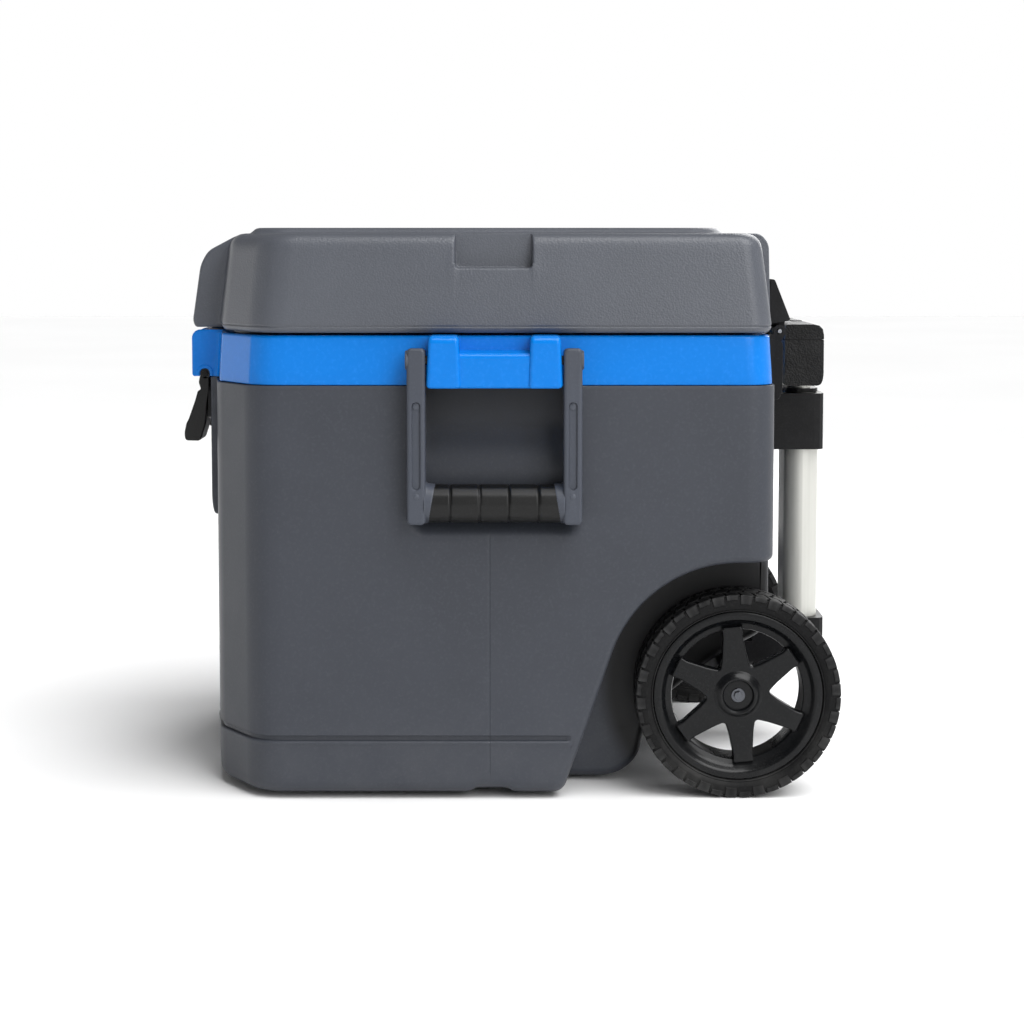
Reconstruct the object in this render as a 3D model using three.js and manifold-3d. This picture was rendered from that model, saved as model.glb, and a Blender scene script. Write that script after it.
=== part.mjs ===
// Hard-sided cooler on two wheels, with a hinged lid, two rubber latches, two side bail handles
// and a telescoping pull handle. Millimetres, +Z up, X is the width, the latches face -Y and the
// hinges, the pull handle and the wheels are at +Y. The origin is on the ground under the middle.
import * as THREE from 'three';
import { mergeVertices } from 'three/addons/utils/BufferGeometryUtils.js';
import Module from 'manifold-3d';

const wasm = await Module();
wasm.setup();

// ---------------------------------------------------------------- driving dimensions
const GAP = 0.3;                 // air left between two pieces that meet
const WALL = 3.5;                // moulded outer skins
const LINER_WALL = 3;            // inner liners
const FAR = 330;                 // past every face of the object, for cuts that run right through

const BODY_HALF_WIDTH = 230;
const BODY_REAR = 236.5;
const BODY_FRONT = -277;
const BODY_BOTTOM = 5;
const BODY_TOP = 369.7;
const BODY_MID_Y = (BODY_REAR + BODY_FRONT) / 2;
const BODY_HALF_LENGTH = (BODY_REAR - BODY_FRONT) / 2;
const BASE_GROOVE_LOW = 51.5;
const BASE_GROOVE_HIGH = 58.5;
const BASE_GROOVE_DEPTH = 1.8;
const SKID_X = [112, 150];
const SKID_Y = [-222, 30];

const NOSE_HALF_WIDTH = 102;     // the latch pad, the collar nose and the lid nose share this
const PAD_FACE = -279.7;
const PAD_BOTTOM = 237.5;

const CAVITY_HALF_WIDTH = 195;
const CAVITY_FRONT = -240;
const CAVITY_REAR = 200;
const CAVITY_FLOOR = 42;
const LINER_TOP = 413.2;
const SHELF_Z = 243;             // cavity floor above the wheels
const LOWER_REAR_SIDE = 22;      // rear wall of the full-width lower cavity
const LOWER_REAR_MIDDLE = 84;    // rear wall of the lower cavity between the wheels
const MIDDLE_HALF_WIDTH = 128;
const REAR_STEP_Z = 165;
const CAVITY_CORNER = 12;        // reach of the cavity's chamfered upright corners

const COLLAR_BOTTOM = BODY_TOP + GAP;
const COLLAR_TOP = 413.9;
const COLLAR_NOSE = -297;
const BRACKET_MID_Y = -12.2;     // side brackets, bails and their recesses are centred here
const BRACKET_HALF = 59;
const BRACKET_FACE = 254.5;
const BRACKET_RIB = 26;

const LID_BOTTOM = 416.1;
const LID_WIDEST = 421.9;
const LID_SHOULDER = 494;
const LID_TOP = 503.5;
const LID_PANEL_TOP = 508.5;
const LID_DRAFT = 10;
const LID_REAR = 237;
const NOTCH_Y = [-47.4, 21.2];
const NOTCH_FLOOR = 472.8;

const WHEEL_Y = 205;
const WHEEL_R = 92;
const WHEEL_X = [172, 228];
const RIM_R = 75.6;
const SPOKES = 6;
const SPOKE_TURN = 5.3;          // degrees, turns the spokes off the vertical
const AXLE_R = 6;
const AXLE_HALF = 219;
const HUB_BORE = 9;
const ARCH_R = 119;
const ARCH_Z = 93;
const ARCH_END = 160.5;          // degrees, where the arch turns into a straight edge
const WELL_WALL = 165;

const HINGE_Y = 246.4;
const HINGE_Z = 414.8;
const HINGE_X = [105, 160];
const KNUCKLE_R = 6;
const PIN_R = 2.6;

const LATCH_X = [62.5, 98.5];
const LATCH_Y = -285;
const LATCH_Z = 372.5;

const BAIL_X = 247;
const BAIL_Z = 393.2;
const BAIL_ARM = [60.2, 76.4];   // from the bracket's middle to the arm's two faces
const BAIL_BOTTOM = 249;
const BAIL_GRIP_X = 238;
const BAIL_GRIP_Z = 266.8;
const BAIL_GRIP_R = 17.6;
const BAIL_PIN_R = 4;

const MAST_Y = 285.4;
const MAST_HALF = [35.5, 16.5];
const MIDDLE_HALF = [31.2, 12.2];
const INNER_HALF = [27, 9];
const TUBE_WALL = 2;
const MAST_BOTTOM = 92.3;
const MAST_TOP = 349.6;
const CARRIER_BOTTOM = 88;
const UPPER_BRACKET_Z = [295.7, 349.8];
const MAST_BLOCK_HALF = 44;

const GRIP_HALF = 95;
const GRIP_Y = [259.6, 296.1];
const GRIP_Z = [360.7, 418.4];
const GRIP_SEAM = 404.3;

const DRAIN_Z = 56;
const DRAIN_FLOOR = -258;        // bottom of the round recess that the drain sits in
const DRAIN_RECESS_R = 27;

// ---------------------------------------------------------------- colours
const finish = (color, roughness, metalness = 0) =>
  new THREE.MeshStandardMaterial({ color, roughness, metalness });
const GREY_BODY = finish(0x54575f, 0.55);
const GREY_LID = finish(0x5d5f62, 0.6);
const BLUE = finish(0x2689e6, 0.25);
const BLACK = finish(0x202224, 0.55);
const RUBBER = finish(0x232425, 0.8);
const WHITE = finish(0xe8e8e4, 0.4);
const FOAM = finish(0xe9dfc0, 0.9);
const STEEL = finish(0xb4b6b8, 0.35, 1);
const ALUMINIUM = finish(0xbebeba, 0.4, 0.8);

// ---------------------------------------------------------------- solids from three.js shapes
function signedVolume(position, index) {
  const a = new THREE.Vector3();
  const b = new THREE.Vector3();
  const c = new THREE.Vector3();
  let sum = 0;
  for (let i = 0; i < index.length; i += 3) {
    a.fromArray(position, 3 * index[i]);
    b.fromArray(position, 3 * index[i + 1]);
    c.fromArray(position, 3 * index[i + 2]);
    sum += a.dot(b.cross(c)) / 6;
  }
  return sum;
}

function solid(geometry) {
  geometry.deleteAttribute('normal');
  geometry.deleteAttribute('uv');
  const merged = mergeVertices(geometry, 1e-3);
  const all = merged.index.array;
  const index = [];
  for (let i = 0; i < all.length; i += 3) {
    const [a, b, c] = [all[i], all[i + 1], all[i + 2]];
    if (a !== b && b !== c && c !== a) index.push(a, b, c);
  }
  const position = merged.attributes.position.array;
  if (signedVolume(position, index) < 0) index.reverse();
  return new wasm.Manifold(new wasm.Mesh({
    numProp: 3,
    vertProperties: new Float32Array(position),
    triVerts: new Uint32Array(index),
  }));
}

function join(...pieces) {
  return pieces.reduce((whole, piece) => whole.add(piece));
}

function cut(from, ...pieces) {
  return pieces.reduce((rest, piece) => rest.subtract(piece), from);
}

// A polygon whose corners [x, y, reach] are rounded off over the given reach along both edges.
function outline(corners, hole = false) {
  const path = hole ? new THREE.Path() : new THREE.Shape();
  const n = corners.length;
  const at = (i) => new THREE.Vector2(corners[(i + n) % n][0], corners[(i + n) % n][1]);
  for (let i = 0; i < n; i += 1) {
    const here = at(i);
    const reach = corners[i][2] ?? 0;
    const first = i === 0;
    if (reach === 0) {
      if (first) path.moveTo(here.x, here.y);
      else path.lineTo(here.x, here.y);
      continue;
    }
    const before = at(i - 1).sub(here).setLength(reach).add(here);
    const after = at(i + 1).sub(here).setLength(reach).add(here);
    if (first) path.moveTo(before.x, before.y);
    else path.lineTo(before.x, before.y);
    path.quadraticCurveTo(here.x, here.y, after.x, after.y);
  }
  path.closePath();
  return path;
}

function mirrored(corners) {
  const other = corners.filter(([x]) => x > 0).map(([x, y, r]) => [-x, y, r]).reverse();
  return [...corners, ...other];
}

function rectangle(x0, x1, y0, y1, reach = 0) {
  return outline([[x0, y0, reach], [x1, y0, reach], [x1, y1, reach], [x0, y1, reach]]);
}

function extruded(shape, depth, curveSegments) {
  return new THREE.ExtrudeGeometry(shape, { depth, bevelEnabled: false, curveSegments });
}

const AXIS_X = new THREE.Vector3(1, 0, 0);
const AXIS_Y = new THREE.Vector3(0, 1, 0);
const AXIS_Z = new THREE.Vector3(0, 0, 1);

// A (y, z) shape pushed from x0 to x1.
function alongX(shape, x0, x1, curveSegments = 3) {
  const geometry = extruded(shape, x1 - x0, curveSegments);
  geometry.applyMatrix4(new THREE.Matrix4().makeBasis(AXIS_Y, AXIS_Z, AXIS_X));
  geometry.translate(x0, 0, 0);
  return solid(geometry);
}

// An (x, z) shape pushed from y0 to y1.
function alongY(shape, y0, y1, curveSegments = 3) {
  const geometry = extruded(shape, y1 - y0, curveSegments);
  const back = AXIS_Y.clone().negate();
  geometry.applyMatrix4(new THREE.Matrix4().makeBasis(AXIS_X, AXIS_Z, back));
  geometry.translate(0, y1, 0);
  return solid(geometry);
}

// An (x, y) shape pushed from z0 to z1.
function alongZ(shape, z0, z1, curveSegments = 3) {
  const geometry = extruded(shape, z1 - z0, curveSegments);
  geometry.translate(0, 0, z0);
  return solid(geometry);
}

function block([x0, x1], [y0, y1], [z0, z1]) {
  const geometry = new THREE.BoxGeometry(x1 - x0, y1 - y0, z1 - z0);
  geometry.translate((x0 + x1) / 2, (y0 + y1) / 2, (z0 + z1) / 2);
  return solid(geometry);
}

function turned(geometry, axis) {
  if (axis === 'x') geometry.rotateZ(-Math.PI / 2);
  if (axis === 'z') geometry.rotateX(Math.PI / 2);
  return geometry;
}

// A round bar from a0 to a1 along an axis, at the two other coordinates.
function bar(axis, a0, a1, p, q, radius, sides = 12) {
  const geometry = turned(new THREE.CylinderGeometry(radius, radius, a1 - a0, sides), axis);
  const middle = (a0 + a1) / 2;
  const place = { x: [middle, p, q], y: [p, middle, q], z: [p, q, middle] };
  geometry.translate(...place[axis]);
  return solid(geometry);
}

// A turned piece: the profile's points are [radius, place along the axis].
function lathe(axis, profile, p, q, sides) {
  const points = profile.map(([r, a]) => new THREE.Vector2(r, a));
  const geometry = turned(new THREE.LatheGeometry(points, sides), axis);
  const place = { x: [0, p, q], y: [p, 0, q], z: [p, q, 0] };
  geometry.translate(...place[axis]);
  return solid(geometry);
}

// A plan shape raised through levels [z, inset], each drawn in towards the middle by its inset.
function drafted(shape, levels, middleY, halfX, halfY, curveSegments = 2) {
  const steps = levels.length - 1;
  const geometry = new THREE.ExtrudeGeometry(shape, {
    depth: steps, steps, bevelEnabled: false, curveSegments,
  });
  const position = geometry.attributes.position;
  for (let i = 0; i < position.count; i += 1) {
    const [z, inset] = levels[Math.round(position.getZ(i))];
    const x = position.getX(i) * (1 - inset / halfX);
    const y = middleY + (position.getY(i) - middleY) * (1 - inset / halfY);
    position.setXYZ(i, x, y, z);
  }
  return solid(geometry);
}

function racetrack([halfX, halfY], z0, z1, grow = 0) {
  const x = halfX + grow;
  const y = halfY + grow;
  return alongZ(rectangle(-x, x, MAST_Y - y, MAST_Y + y, y * 0.99), z0, z1, 5);
}

const group = new THREE.Group();

function place(name, manifold, material) {
  const mesh = manifold.getMesh();
  const geometry = new THREE.BufferGeometry();
  geometry.setAttribute('position', new THREE.BufferAttribute(mesh.vertProperties, 3));
  geometry.setIndex(new THREE.BufferAttribute(mesh.triVerts, 1));
  const piece = new THREE.Mesh(geometry, material);
  piece.name = name;
  group.add(piece);
}

const SIDES = [['left', -1], ['right', 1]];

function sideways(side, x0, x1) {
  return side > 0 ? [x0, x1] : [-x1, -x0];
}

// ---------------------------------------------------------------- the tub's shared forms
const TUB_PLAN = outline(mirrored([
  [0, BODY_FRONT], [102, -274, 30], [172, -263.5, 34], [219, -229, 14],
  [BODY_HALF_WIDTH, -206, 11], [BODY_HALF_WIDTH, BODY_REAR, 25], [0, BODY_REAR],
]));

function tubPlan(levels) {
  return drafted(TUB_PLAN, levels, BODY_MID_Y, BODY_HALF_WIDTH, BODY_HALF_LENGTH);
}

// The space of one wheel: a flat roof, a round arch and a straight edge down to the ground.
function wheelWell(side, grow) {
  const radius = ARCH_R + grow;
  const end = THREE.MathUtils.degToRad(ARCH_END);
  const start = Math.PI / 2;
  const lowest = -20;
  const endY = WHEEL_Y + radius * Math.cos(end);
  const endZ = ARCH_Z + radius * Math.sin(end);
  const shape = new THREE.Shape();
  shape.moveTo(FAR, ARCH_Z + radius);
  shape.lineTo(WHEEL_Y, ARCH_Z + radius);
  shape.absarc(WHEEL_Y, ARCH_Z, radius, start, end, false);
  shape.lineTo(endY - (endZ - lowest) / Math.tan(end - start), lowest);
  shape.lineTo(FAR, lowest);
  shape.closePath();
  return alongX(shape, ...sideways(side, WELL_WALL - grow, FAR), 7);
}

// The space under the tub's rear, between the wheels.
function rearUnderside(grow) {
  const shape = new THREE.Shape();
  shape.moveTo(98 - grow, -20);
  shape.lineTo(98 - grow, 4 + grow);
  shape.quadraticCurveTo(118 - grow, 10 + grow, 123 - grow, 43 + grow);
  shape.quadraticCurveTo(132 - grow, 92 + grow, 190 - grow, 118 + grow);
  shape.lineTo(FAR - grow, 184 + grow);
  shape.lineTo(FAR, -20);
  shape.closePath();
  return alongX(shape, -WELL_WALL - 5, WELL_WALL + 5, 4);
}

// The scoop behind a bail handle.
function bailScoop(side, grow) {
  const low = 238 - grow;
  const corners = [
    [FAR, low], [BODY_HALF_WIDTH, low], [218 - grow, low + 16, 6], [216 - grow, 300 - grow, 12],
    [204 - grow, 334 - grow, 12], [204 - grow, BODY_TOP + 1], [FAR, BODY_TOP + 1],
  ];
  const shape = outline(corners.map(([x, z, r]) => [side * x, z, r]));
  const half = 85 + grow;
  return alongY(shape, BRACKET_MID_Y - half, BRACKET_MID_Y + half, 2);
}

function tubCuts(grow) {
  const pieces = [rearUnderside(grow)];
  for (const [, side] of SIDES) pieces.push(wheelWell(side, grow), bailScoop(side, grow));
  pieces.push(bar('y', -FAR, DRAIN_FLOOR + grow, 0, DRAIN_Z, DRAIN_RECESS_R + grow, 16));
  return pieces;
}

// The inside of the cooler as one solid, grown outwards by the given amount.
function cavity(grow, top) {
  const front = CAVITY_FRONT - grow;
  const half = CAVITY_HALF_WIDTH + grow;
  const middle = MIDDLE_HALF_WIDTH + grow;
  const corner = CAVITY_CORNER + 0.6 * grow;
  const floor = CAVITY_FLOOR - grow;
  const shelf = SHELF_Z - grow;
  const upper = rectangle(-half, half, front, CAVITY_REAR + grow, corner);
  const lower = rectangle(-half, half, front, LOWER_REAR_SIDE + grow, corner);
  const between = rectangle(-middle, middle, front + 40, LOWER_REAR_MIDDLE + grow, corner);
  return join(
    alongZ(upper, shelf, top, 1),
    alongZ(lower, floor, shelf + 20, 1),
    alongZ(between, floor, shelf + 10, 1),
    block([-middle, middle], [0, CAVITY_REAR + grow - 6], [REAR_STEP_Z - grow, shelf + 15]),
  );
}

const DRAIN_BORE = bar('y', -FAR, CAVITY_FRONT + 20, 0, DRAIN_Z, 11 + GAP, 16);
const BRACKET_SCREW_PLACES = [[53, 322], [30, 149]];
const HINGE_SCREW_PLACES = [381, 398];
const LID_SCREW_Z = 446;
const SCREW_R = 2.2;
const SCREW_TIP = 231.5;         // how far a case screw reaches in from behind
const HINGE_MID_X = (HINGE_X[0] + HINGE_X[1]) / 2;

function screwHole(x, z) {
  return bar('y', 226, FAR, x, z, SCREW_R + GAP, 6);
}

const CASE_SCREW_HOLES = [];
for (const side of [-1, 1]) {
  for (const [x, z] of BRACKET_SCREW_PLACES) CASE_SCREW_HOLES.push(screwHole(side * x, z));
  for (const z of HINGE_SCREW_PLACES) CASE_SCREW_HOLES.push(screwHole(side * HINGE_MID_X, z));
}

// The cavity's plan at its mouth, grown outwards.
function mouth(grow, z0, z1) {
  return alongZ(rectangle(
    -CAVITY_HALF_WIDTH - grow, CAVITY_HALF_WIDTH + grow,
    CAVITY_FRONT - grow, CAVITY_REAR + grow, CAVITY_CORNER + 0.6 * grow,
  ), z0, z1, 1);
}

// The thicker floor that closes the collar above a bail's scoop.
function scoopRoof(side, grow) {
  const half = 90 + grow;
  return block(sideways(side, 199 - grow, FAR), [BRACKET_MID_Y - half, BRACKET_MID_Y + half],
    [COLLAR_BOTTOM - 4, COLLAR_BOTTOM + 6 + grow]);
}

// ---------------------------------------------------------------- tub
function buildBodyShell() {
  const grooveLip = 1.6;
  const outer = join(
    tubPlan([
      [BODY_BOTTOM, 11], [BODY_BOTTOM + 3.2, 3.4], [BODY_BOTTOM + 11, 0],
      [BASE_GROOVE_LOW, 0], [BASE_GROOVE_LOW + grooveLip, BASE_GROOVE_DEPTH],
      [BASE_GROOVE_HIGH - grooveLip, BASE_GROOVE_DEPTH], [BASE_GROOVE_HIGH, 0], [BODY_TOP, 0],
    ]),
    block([-NOSE_HALF_WIDTH, NOSE_HALF_WIDTH], [PAD_FACE, -250], [PAD_BOTTOM, BODY_TOP]),
  );
  const inner = cut(
    tubPlan([[BODY_BOTTOM + WALL, 14], [BODY_BOTTOM + 14, WALL + 2], [BODY_TOP + 5, WALL + 2]]),
    ...tubCuts(WALL),
  );
  const skids = SIDES.map(([, side]) => {
    const [x0, x1] = sideways(side, ...SKID_X);
    return alongZ(rectangle(x0, x1, ...SKID_Y, 12), 0, BODY_BOTTOM + 2);
  });
  return join(cut(outer, ...tubCuts(0), inner, DRAIN_BORE, ...CASE_SCREW_HOLES), ...skids);
}

function buildBodyFoam() {
  const clear = WALL + GAP;
  const low = cut(
    tubPlan([[BODY_BOTTOM + clear, 14.5], [BODY_BOTTOM + 14, clear + 2], [BODY_TOP - GAP, clear + 2]]),
    ...tubCuts(clear),
  );
  const skirt = LINER_WALL + 3 + 2 * GAP;
  const high = cut(
    tubPlan([[BODY_TOP - 1, 8.5], [405.6, 8.5]]),
    mouth(skirt, BODY_TOP - GAP, 420), scoopRoof(-1, GAP), scoopRoof(1, GAP),
  );
  return cut(join(low, high), cavity(LINER_WALL + GAP, 430), DRAIN_BORE);
}

function buildBodyLiner() {
  return cut(cavity(LINER_WALL, LINER_TOP), cavity(0, 430), DRAIN_BORE);
}

// ---------------------------------------------------------------- collar
function buildCollar() {
  const hole = LINER_WALL + GAP;
  const skirt = hole + 3;
  const noseProfile = outline([
    [-250, COLLAR_BOTTOM], [COLLAR_NOSE, COLLAR_BOTTOM, 2], [COLLAR_NOSE, COLLAR_TOP, 7],
    [-250, COLLAR_TOP],
  ]);
  let collar = join(
    tubPlan([[COLLAR_BOTTOM, 2], [COLLAR_TOP - 2, 4.2], [COLLAR_TOP, 5.4]]),
    alongX(noseProfile, -NOSE_HALF_WIDTH, NOSE_HALF_WIDTH),
  );
  for (const [, side] of SIDES) collar = join(collar, bracketBlock(side));
  const channel = cut(
    tubPlan([[COLLAR_BOTTOM - 2, 8], [406, 8]]),
    mouth(skirt, COLLAR_BOTTOM - 3, COLLAR_TOP), scoopRoof(-1, 0), scoopRoof(1, 0),
  );
  collar = cut(collar, channel, mouth(hole, COLLAR_BOTTOM - 3, COLLAR_TOP + 3), ...CASE_SCREW_HOLES);
  for (const [, side] of SIDES) {
    collar = cut(collar, latchSlot(side), ...bailPinHoles(side));
  }
  return collar;
}

// Two ribs and a lower panel between them carry the bail's pins on each side.
function bracketBlock(side) {
  const face = BRACKET_FACE;
  const y0 = BRACKET_MID_Y - BRACKET_HALF;
  const y1 = BRACKET_MID_Y + BRACKET_HALF;
  const rib = [[222, COLLAR_BOTTOM], [face, COLLAR_BOTTOM, 4], [face, 402, 6], [244, 413, 4], [222, 413]];
  const panel = [[222, COLLAR_BOTTOM], [face, COLLAR_BOTTOM, 4], [face, 398, 3], [222, 398]];
  const shape = (corners) => outline(corners.map(([x, z, r]) => [side * x, z, r]));
  return join(
    alongY(shape(rib), y0, y0 + BRACKET_RIB),
    alongY(shape(rib), y1 - BRACKET_RIB, y1),
    alongY(shape(panel), y0 + 2, y1 - 2),
  );
}

function bailPinHoles(side) {
  return [-1, 1].map((end) => {
    const near = BRACKET_MID_Y + end * (BRACKET_HALF - 17);
    const far = BRACKET_MID_Y + end * (BRACKET_HALF + 30);
    return bar('y', Math.min(near, far), Math.max(near, far), side * BAIL_X, BAIL_Z,
      BAIL_PIN_R + GAP, 8);
  });
}

// A slot in the nose for one latch, with a pin hole that shows on the nose's end face.
function latchSlot(side) {
  const profile = outline([
    [-FAR, COLLAR_BOTTOM - 4], [-277.5, COLLAR_BOTTOM - 4], [-277.5, 381, 3], [-286, 386],
    [-289.5, COLLAR_TOP + 4], [-FAR, COLLAR_TOP + 4],
  ]);
  const [x0, x1] = sideways(side, LATCH_X[0] - 1, LATCH_X[1] + 1);
  const notch = outline([
    [LATCH_Y - 4.6, COLLAR_BOTTOM - 4], [LATCH_Y + 4.6, COLLAR_BOTTOM - 4],
    [LATCH_Y + 4.6, 377.5, 4.6], [LATCH_Y - 4.6, 377.5, 4.6],
  ]);
  const pinEnds = sideways(side, LATCH_X[0] - 4, NOSE_HALF_WIDTH - 0.8);
  return join(
    alongX(profile, x0, x1),
    alongX(notch, ...sideways(side, LATCH_X[1], FAR)),
    bar('x', ...pinEnds, LATCH_Y, LATCH_Z, PIN_R + GAP, 8),
  );
}

// ---------------------------------------------------------------- lid
const LID_PLAN = outline(mirrored([
  [0, -272], [102, -269.5, 26], [170, -259, 34], [217.5, -226, 14],
  [BODY_HALF_WIDTH, -203, 11], [BODY_HALF_WIDTH, 233, 20], [0, 233],
]));
const LID_NOSE_CORNERS = [
  [-150, LID_BOTTOM], [-293.5, LID_BOTTOM, 3], [-296.2, 422, 3], [-288.2, 474.6, 5],
  [-281, 487.5, 5], [-252, 503, 8], [-236, 504.2], [-150, 504.2],
];
const LID_REAR_CORNERS = [
  [150, LID_BOTTOM], [LID_REAR - 0.6, LID_BOTTOM], [LID_REAR, LID_BOTTOM + 4],
  [235, 495, 5], [227.5, LID_TOP, 5], [150, LID_TOP],
];

function lidForm(grow, bottom) {
  const top = LID_TOP - grow;
  const shoulder = LID_SHOULDER - grow;
  const draft = (z) => grow + LID_DRAFT * (z - LID_WIDEST) / (LID_SHOULDER - LID_WIDEST);
  const levels = [
    [bottom, grow + 3], [LID_WIDEST, grow], [shoulder, draft(shoulder)],
    [shoulder + 6.2, draft(shoulder) + 2.4], [top, draft(shoulder) + 9],
  ];
  const lift = (corners) => corners.map(([y, z, r]) => {
    const inward = Math.sign(y) * (Math.abs(y) > 200 ? grow : 0);
    return [y - inward, z <= LID_BOTTOM ? bottom : z - (z > 480 ? grow : 0), r];
  });
  const half = NOSE_HALF_WIDTH - grow;
  const rearHalf = 168 - grow;
  let form = join(
    drafted(LID_PLAN, levels, BODY_MID_Y, BODY_HALF_WIDTH, BODY_HALF_LENGTH),
    alongX(outline(lift(LID_NOSE_CORNERS)), -half, half),
    alongX(outline(lift(LID_REAR_CORNERS)), -rearHalf, rearHalf),
    alongZ(rectangle(-180 + grow, 180 - grow, -228 + grow, 190 - grow, 30),
      LID_TOP - 12, LID_PANEL_TOP - grow),
  );
  for (const [, side] of SIDES) {
    const [x0, x1] = sideways(side, 205 - grow, FAR);
    const shape = rectangle(NOTCH_Y[0] - grow, NOTCH_Y[1] + grow, NOTCH_FLOOR - grow, 540, 8);
    form = cut(form, alongX(shape, x0, x1, 2));
  }
  return form;
}

const LID_SCREW_HOLES = [-1, 1].map((side) => screwHole(side * HINGE_MID_X, LID_SCREW_Z));
const PLUG = { half: 187, front: -232, rear: 191, bottom: 404 };

function plugForm(inset, bottom, top) {
  const half = PLUG.half - inset;
  const shape = rectangle(-half, half, PLUG.front + inset, PLUG.rear - inset, 20 - inset);
  return alongZ(shape, bottom, top, 2);
}

function buildLidShell() {
  return cut(lidForm(0, LID_BOTTOM), lidForm(WALL, LID_BOTTOM - 5), ...LID_SCREW_HOLES);
}

function buildLidLiner() {
  const floor = LID_BOTTOM + GAP;
  const slab = block([-FAR, FAR], [-FAR, FAR], [floor, floor + LINER_WALL]);
  const plate = lidForm(WALL + GAP, LID_BOTTOM - 5).intersect(slab);
  return cut(
    join(plate, plugForm(0, PLUG.bottom, floor + 1)),
    plugForm(LINER_WALL, PLUG.bottom + LINER_WALL, 430),
  );
}

function buildLidFoam() {
  const floor = LID_BOTTOM + LINER_WALL + 2 * GAP;
  const above = block([-FAR, FAR], [-FAR, FAR], [floor, 520]);
  const clear = WALL + GAP;
  return join(
    lidForm(clear, LID_BOTTOM - 5).intersect(above),
    plugForm(LINER_WALL + GAP, PLUG.bottom + LINER_WALL + GAP, floor + 1),
  );
}

function buildGasket() {
  const ring = rectangle(-207, 207, -250, 212, 26);
  ring.holes.push(outline([
    [-200.5, -244, 22], [200.5, -244, 22], [200.5, 206, 22], [-200.5, 206, 22],
  ], true));
  return alongZ(ring, COLLAR_TOP + GAP, LID_BOTTOM - 0.1, 2);
}

// ---------------------------------------------------------------- hinges
function knuckle(x0, x1) {
  return bar('x', x0, x1, HINGE_Y, HINGE_Z, KNUCKLE_R, 12);
}

const HINGE_THIRD = (HINGE_X[1] - HINGE_X[0]) / 3;
const LEAF_FACE = BODY_REAR + 0.5;
const LEAF_BACK = 242;

function hingeBodyLeaf(side) {
  const web = outline([
    [LEAF_FACE, 400], [LEAF_BACK, 396], [HINGE_Y + 4.5, HINGE_Z - 4], [HINGE_Y, HINGE_Z],
    [LEAF_BACK, HINGE_Z - 2], [LEAF_FACE, 411],
  ]);
  const ends = [[HINGE_X[0], HINGE_X[0] + HINGE_THIRD], [HINGE_X[1] - HINGE_THIRD, HINGE_X[1]]];
  let leaf = block(sideways(side, ...HINGE_X), [LEAF_FACE, LEAF_BACK], [368, 407]);
  for (const [x0, x1] of ends) {
    const [a, b] = sideways(side, x0, x1 - GAP);
    leaf = join(leaf, knuckle(a, b), alongX(web, a, b));
  }
  const holes = HINGE_SCREW_PLACES.map((z) => screwHole(side * HINGE_MID_X, z));
  return cut(leaf, hingePinHole(side), ...holes);
}

function hingeLidLeaf(side) {
  const wedge = outline([
    [LID_REAR + 0.5, 421.6], [256.3, 424.6, 2], [241.5, 462, 2], [LID_REAR + 0.5, 462],
  ]);
  const neck = outline([
    [HINGE_Y - 5, HINGE_Z], [HINGE_Y + 5.6, HINGE_Z], [254, 426], [240, 426],
  ]);
  const [x0, x1] = sideways(side, ...HINGE_X);
  const [a, b] = sideways(side, HINGE_X[0] + HINGE_THIRD + 1, HINGE_X[1] - HINGE_THIRD - 1);
  const head = bar('y', 246.5, FAR, side * HINGE_MID_X, LID_SCREW_Z, 5, 8);
  return cut(
    join(alongX(wedge, x0, x1), alongX(neck, a, b), knuckle(a, b)),
    hingePinHole(side), screwHole(side * HINGE_MID_X, LID_SCREW_Z), head,
  );
}

function hingePinHole(side) {
  return bar('x', ...sideways(side, HINGE_X[0] - 5, HINGE_X[1] + 5), HINGE_Y, HINGE_Z, PIN_R + GAP, 8);
}

function screw(x, z, tip, seat, headR = 4.2) {
  return join(
    bar('y', tip, seat + 1, x, z, SCREW_R, 6),
    bar('y', seat + GAP, seat + 2.4, x, z, headR, 8),
  );
}

// ---------------------------------------------------------------- latches
function buildLatch(side) {
  const profile = outline([
    [LATCH_Y - 4.6, LATCH_Z + 1], [-291.2, 359], [-301.9, 326.3, 8], [-306.4, 314.7, 3],
    [-304, 309, 2.5], [-291, 308.4, 4], [-286, 325.6, 6], [-283.9, 354.4, 6],
    [LATCH_Y + 4.4, LATCH_Z + 1],
  ]);
  const [x0, x1] = sideways(side, ...LATCH_X);
  return cut(
    join(alongX(profile, x0, x1), bar('x', x0, x1, LATCH_Y, LATCH_Z, 5.2, 12)),
    bar('x', x0 - 5, x1 + 5, LATCH_Y, LATCH_Z, PIN_R + GAP, 8),
  );
}

function buildLatchBase(side) {
  const [x0, x1] = sideways(side, ...LATCH_X);
  const shape = rectangle(x0, x1, 330.5, 361, 5);
  return alongY(shape, -282.4, PAD_FACE - GAP, 2);
}

// ---------------------------------------------------------------- bail handles
function bailArm(side, end) {
  const foot = BAIL_GRIP_X - 15.5;
  const corners = [
    [240, 404.2, 5], [BRACKET_FACE, 404.2, 5], [BRACKET_FACE, BAIL_BOTTOM, 6], [foot, BAIL_BOTTOM, 6],
    [foot, 283, 8], [240, 300, 8],
  ];
  const shape = outline(corners.map(([x, z, r]) => [side * x, z, r]));
  const [a, b] = BAIL_ARM.map((distance) => BRACKET_MID_Y + end * distance);
  return alongY(shape, Math.min(a, b), Math.max(a, b));
}

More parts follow.
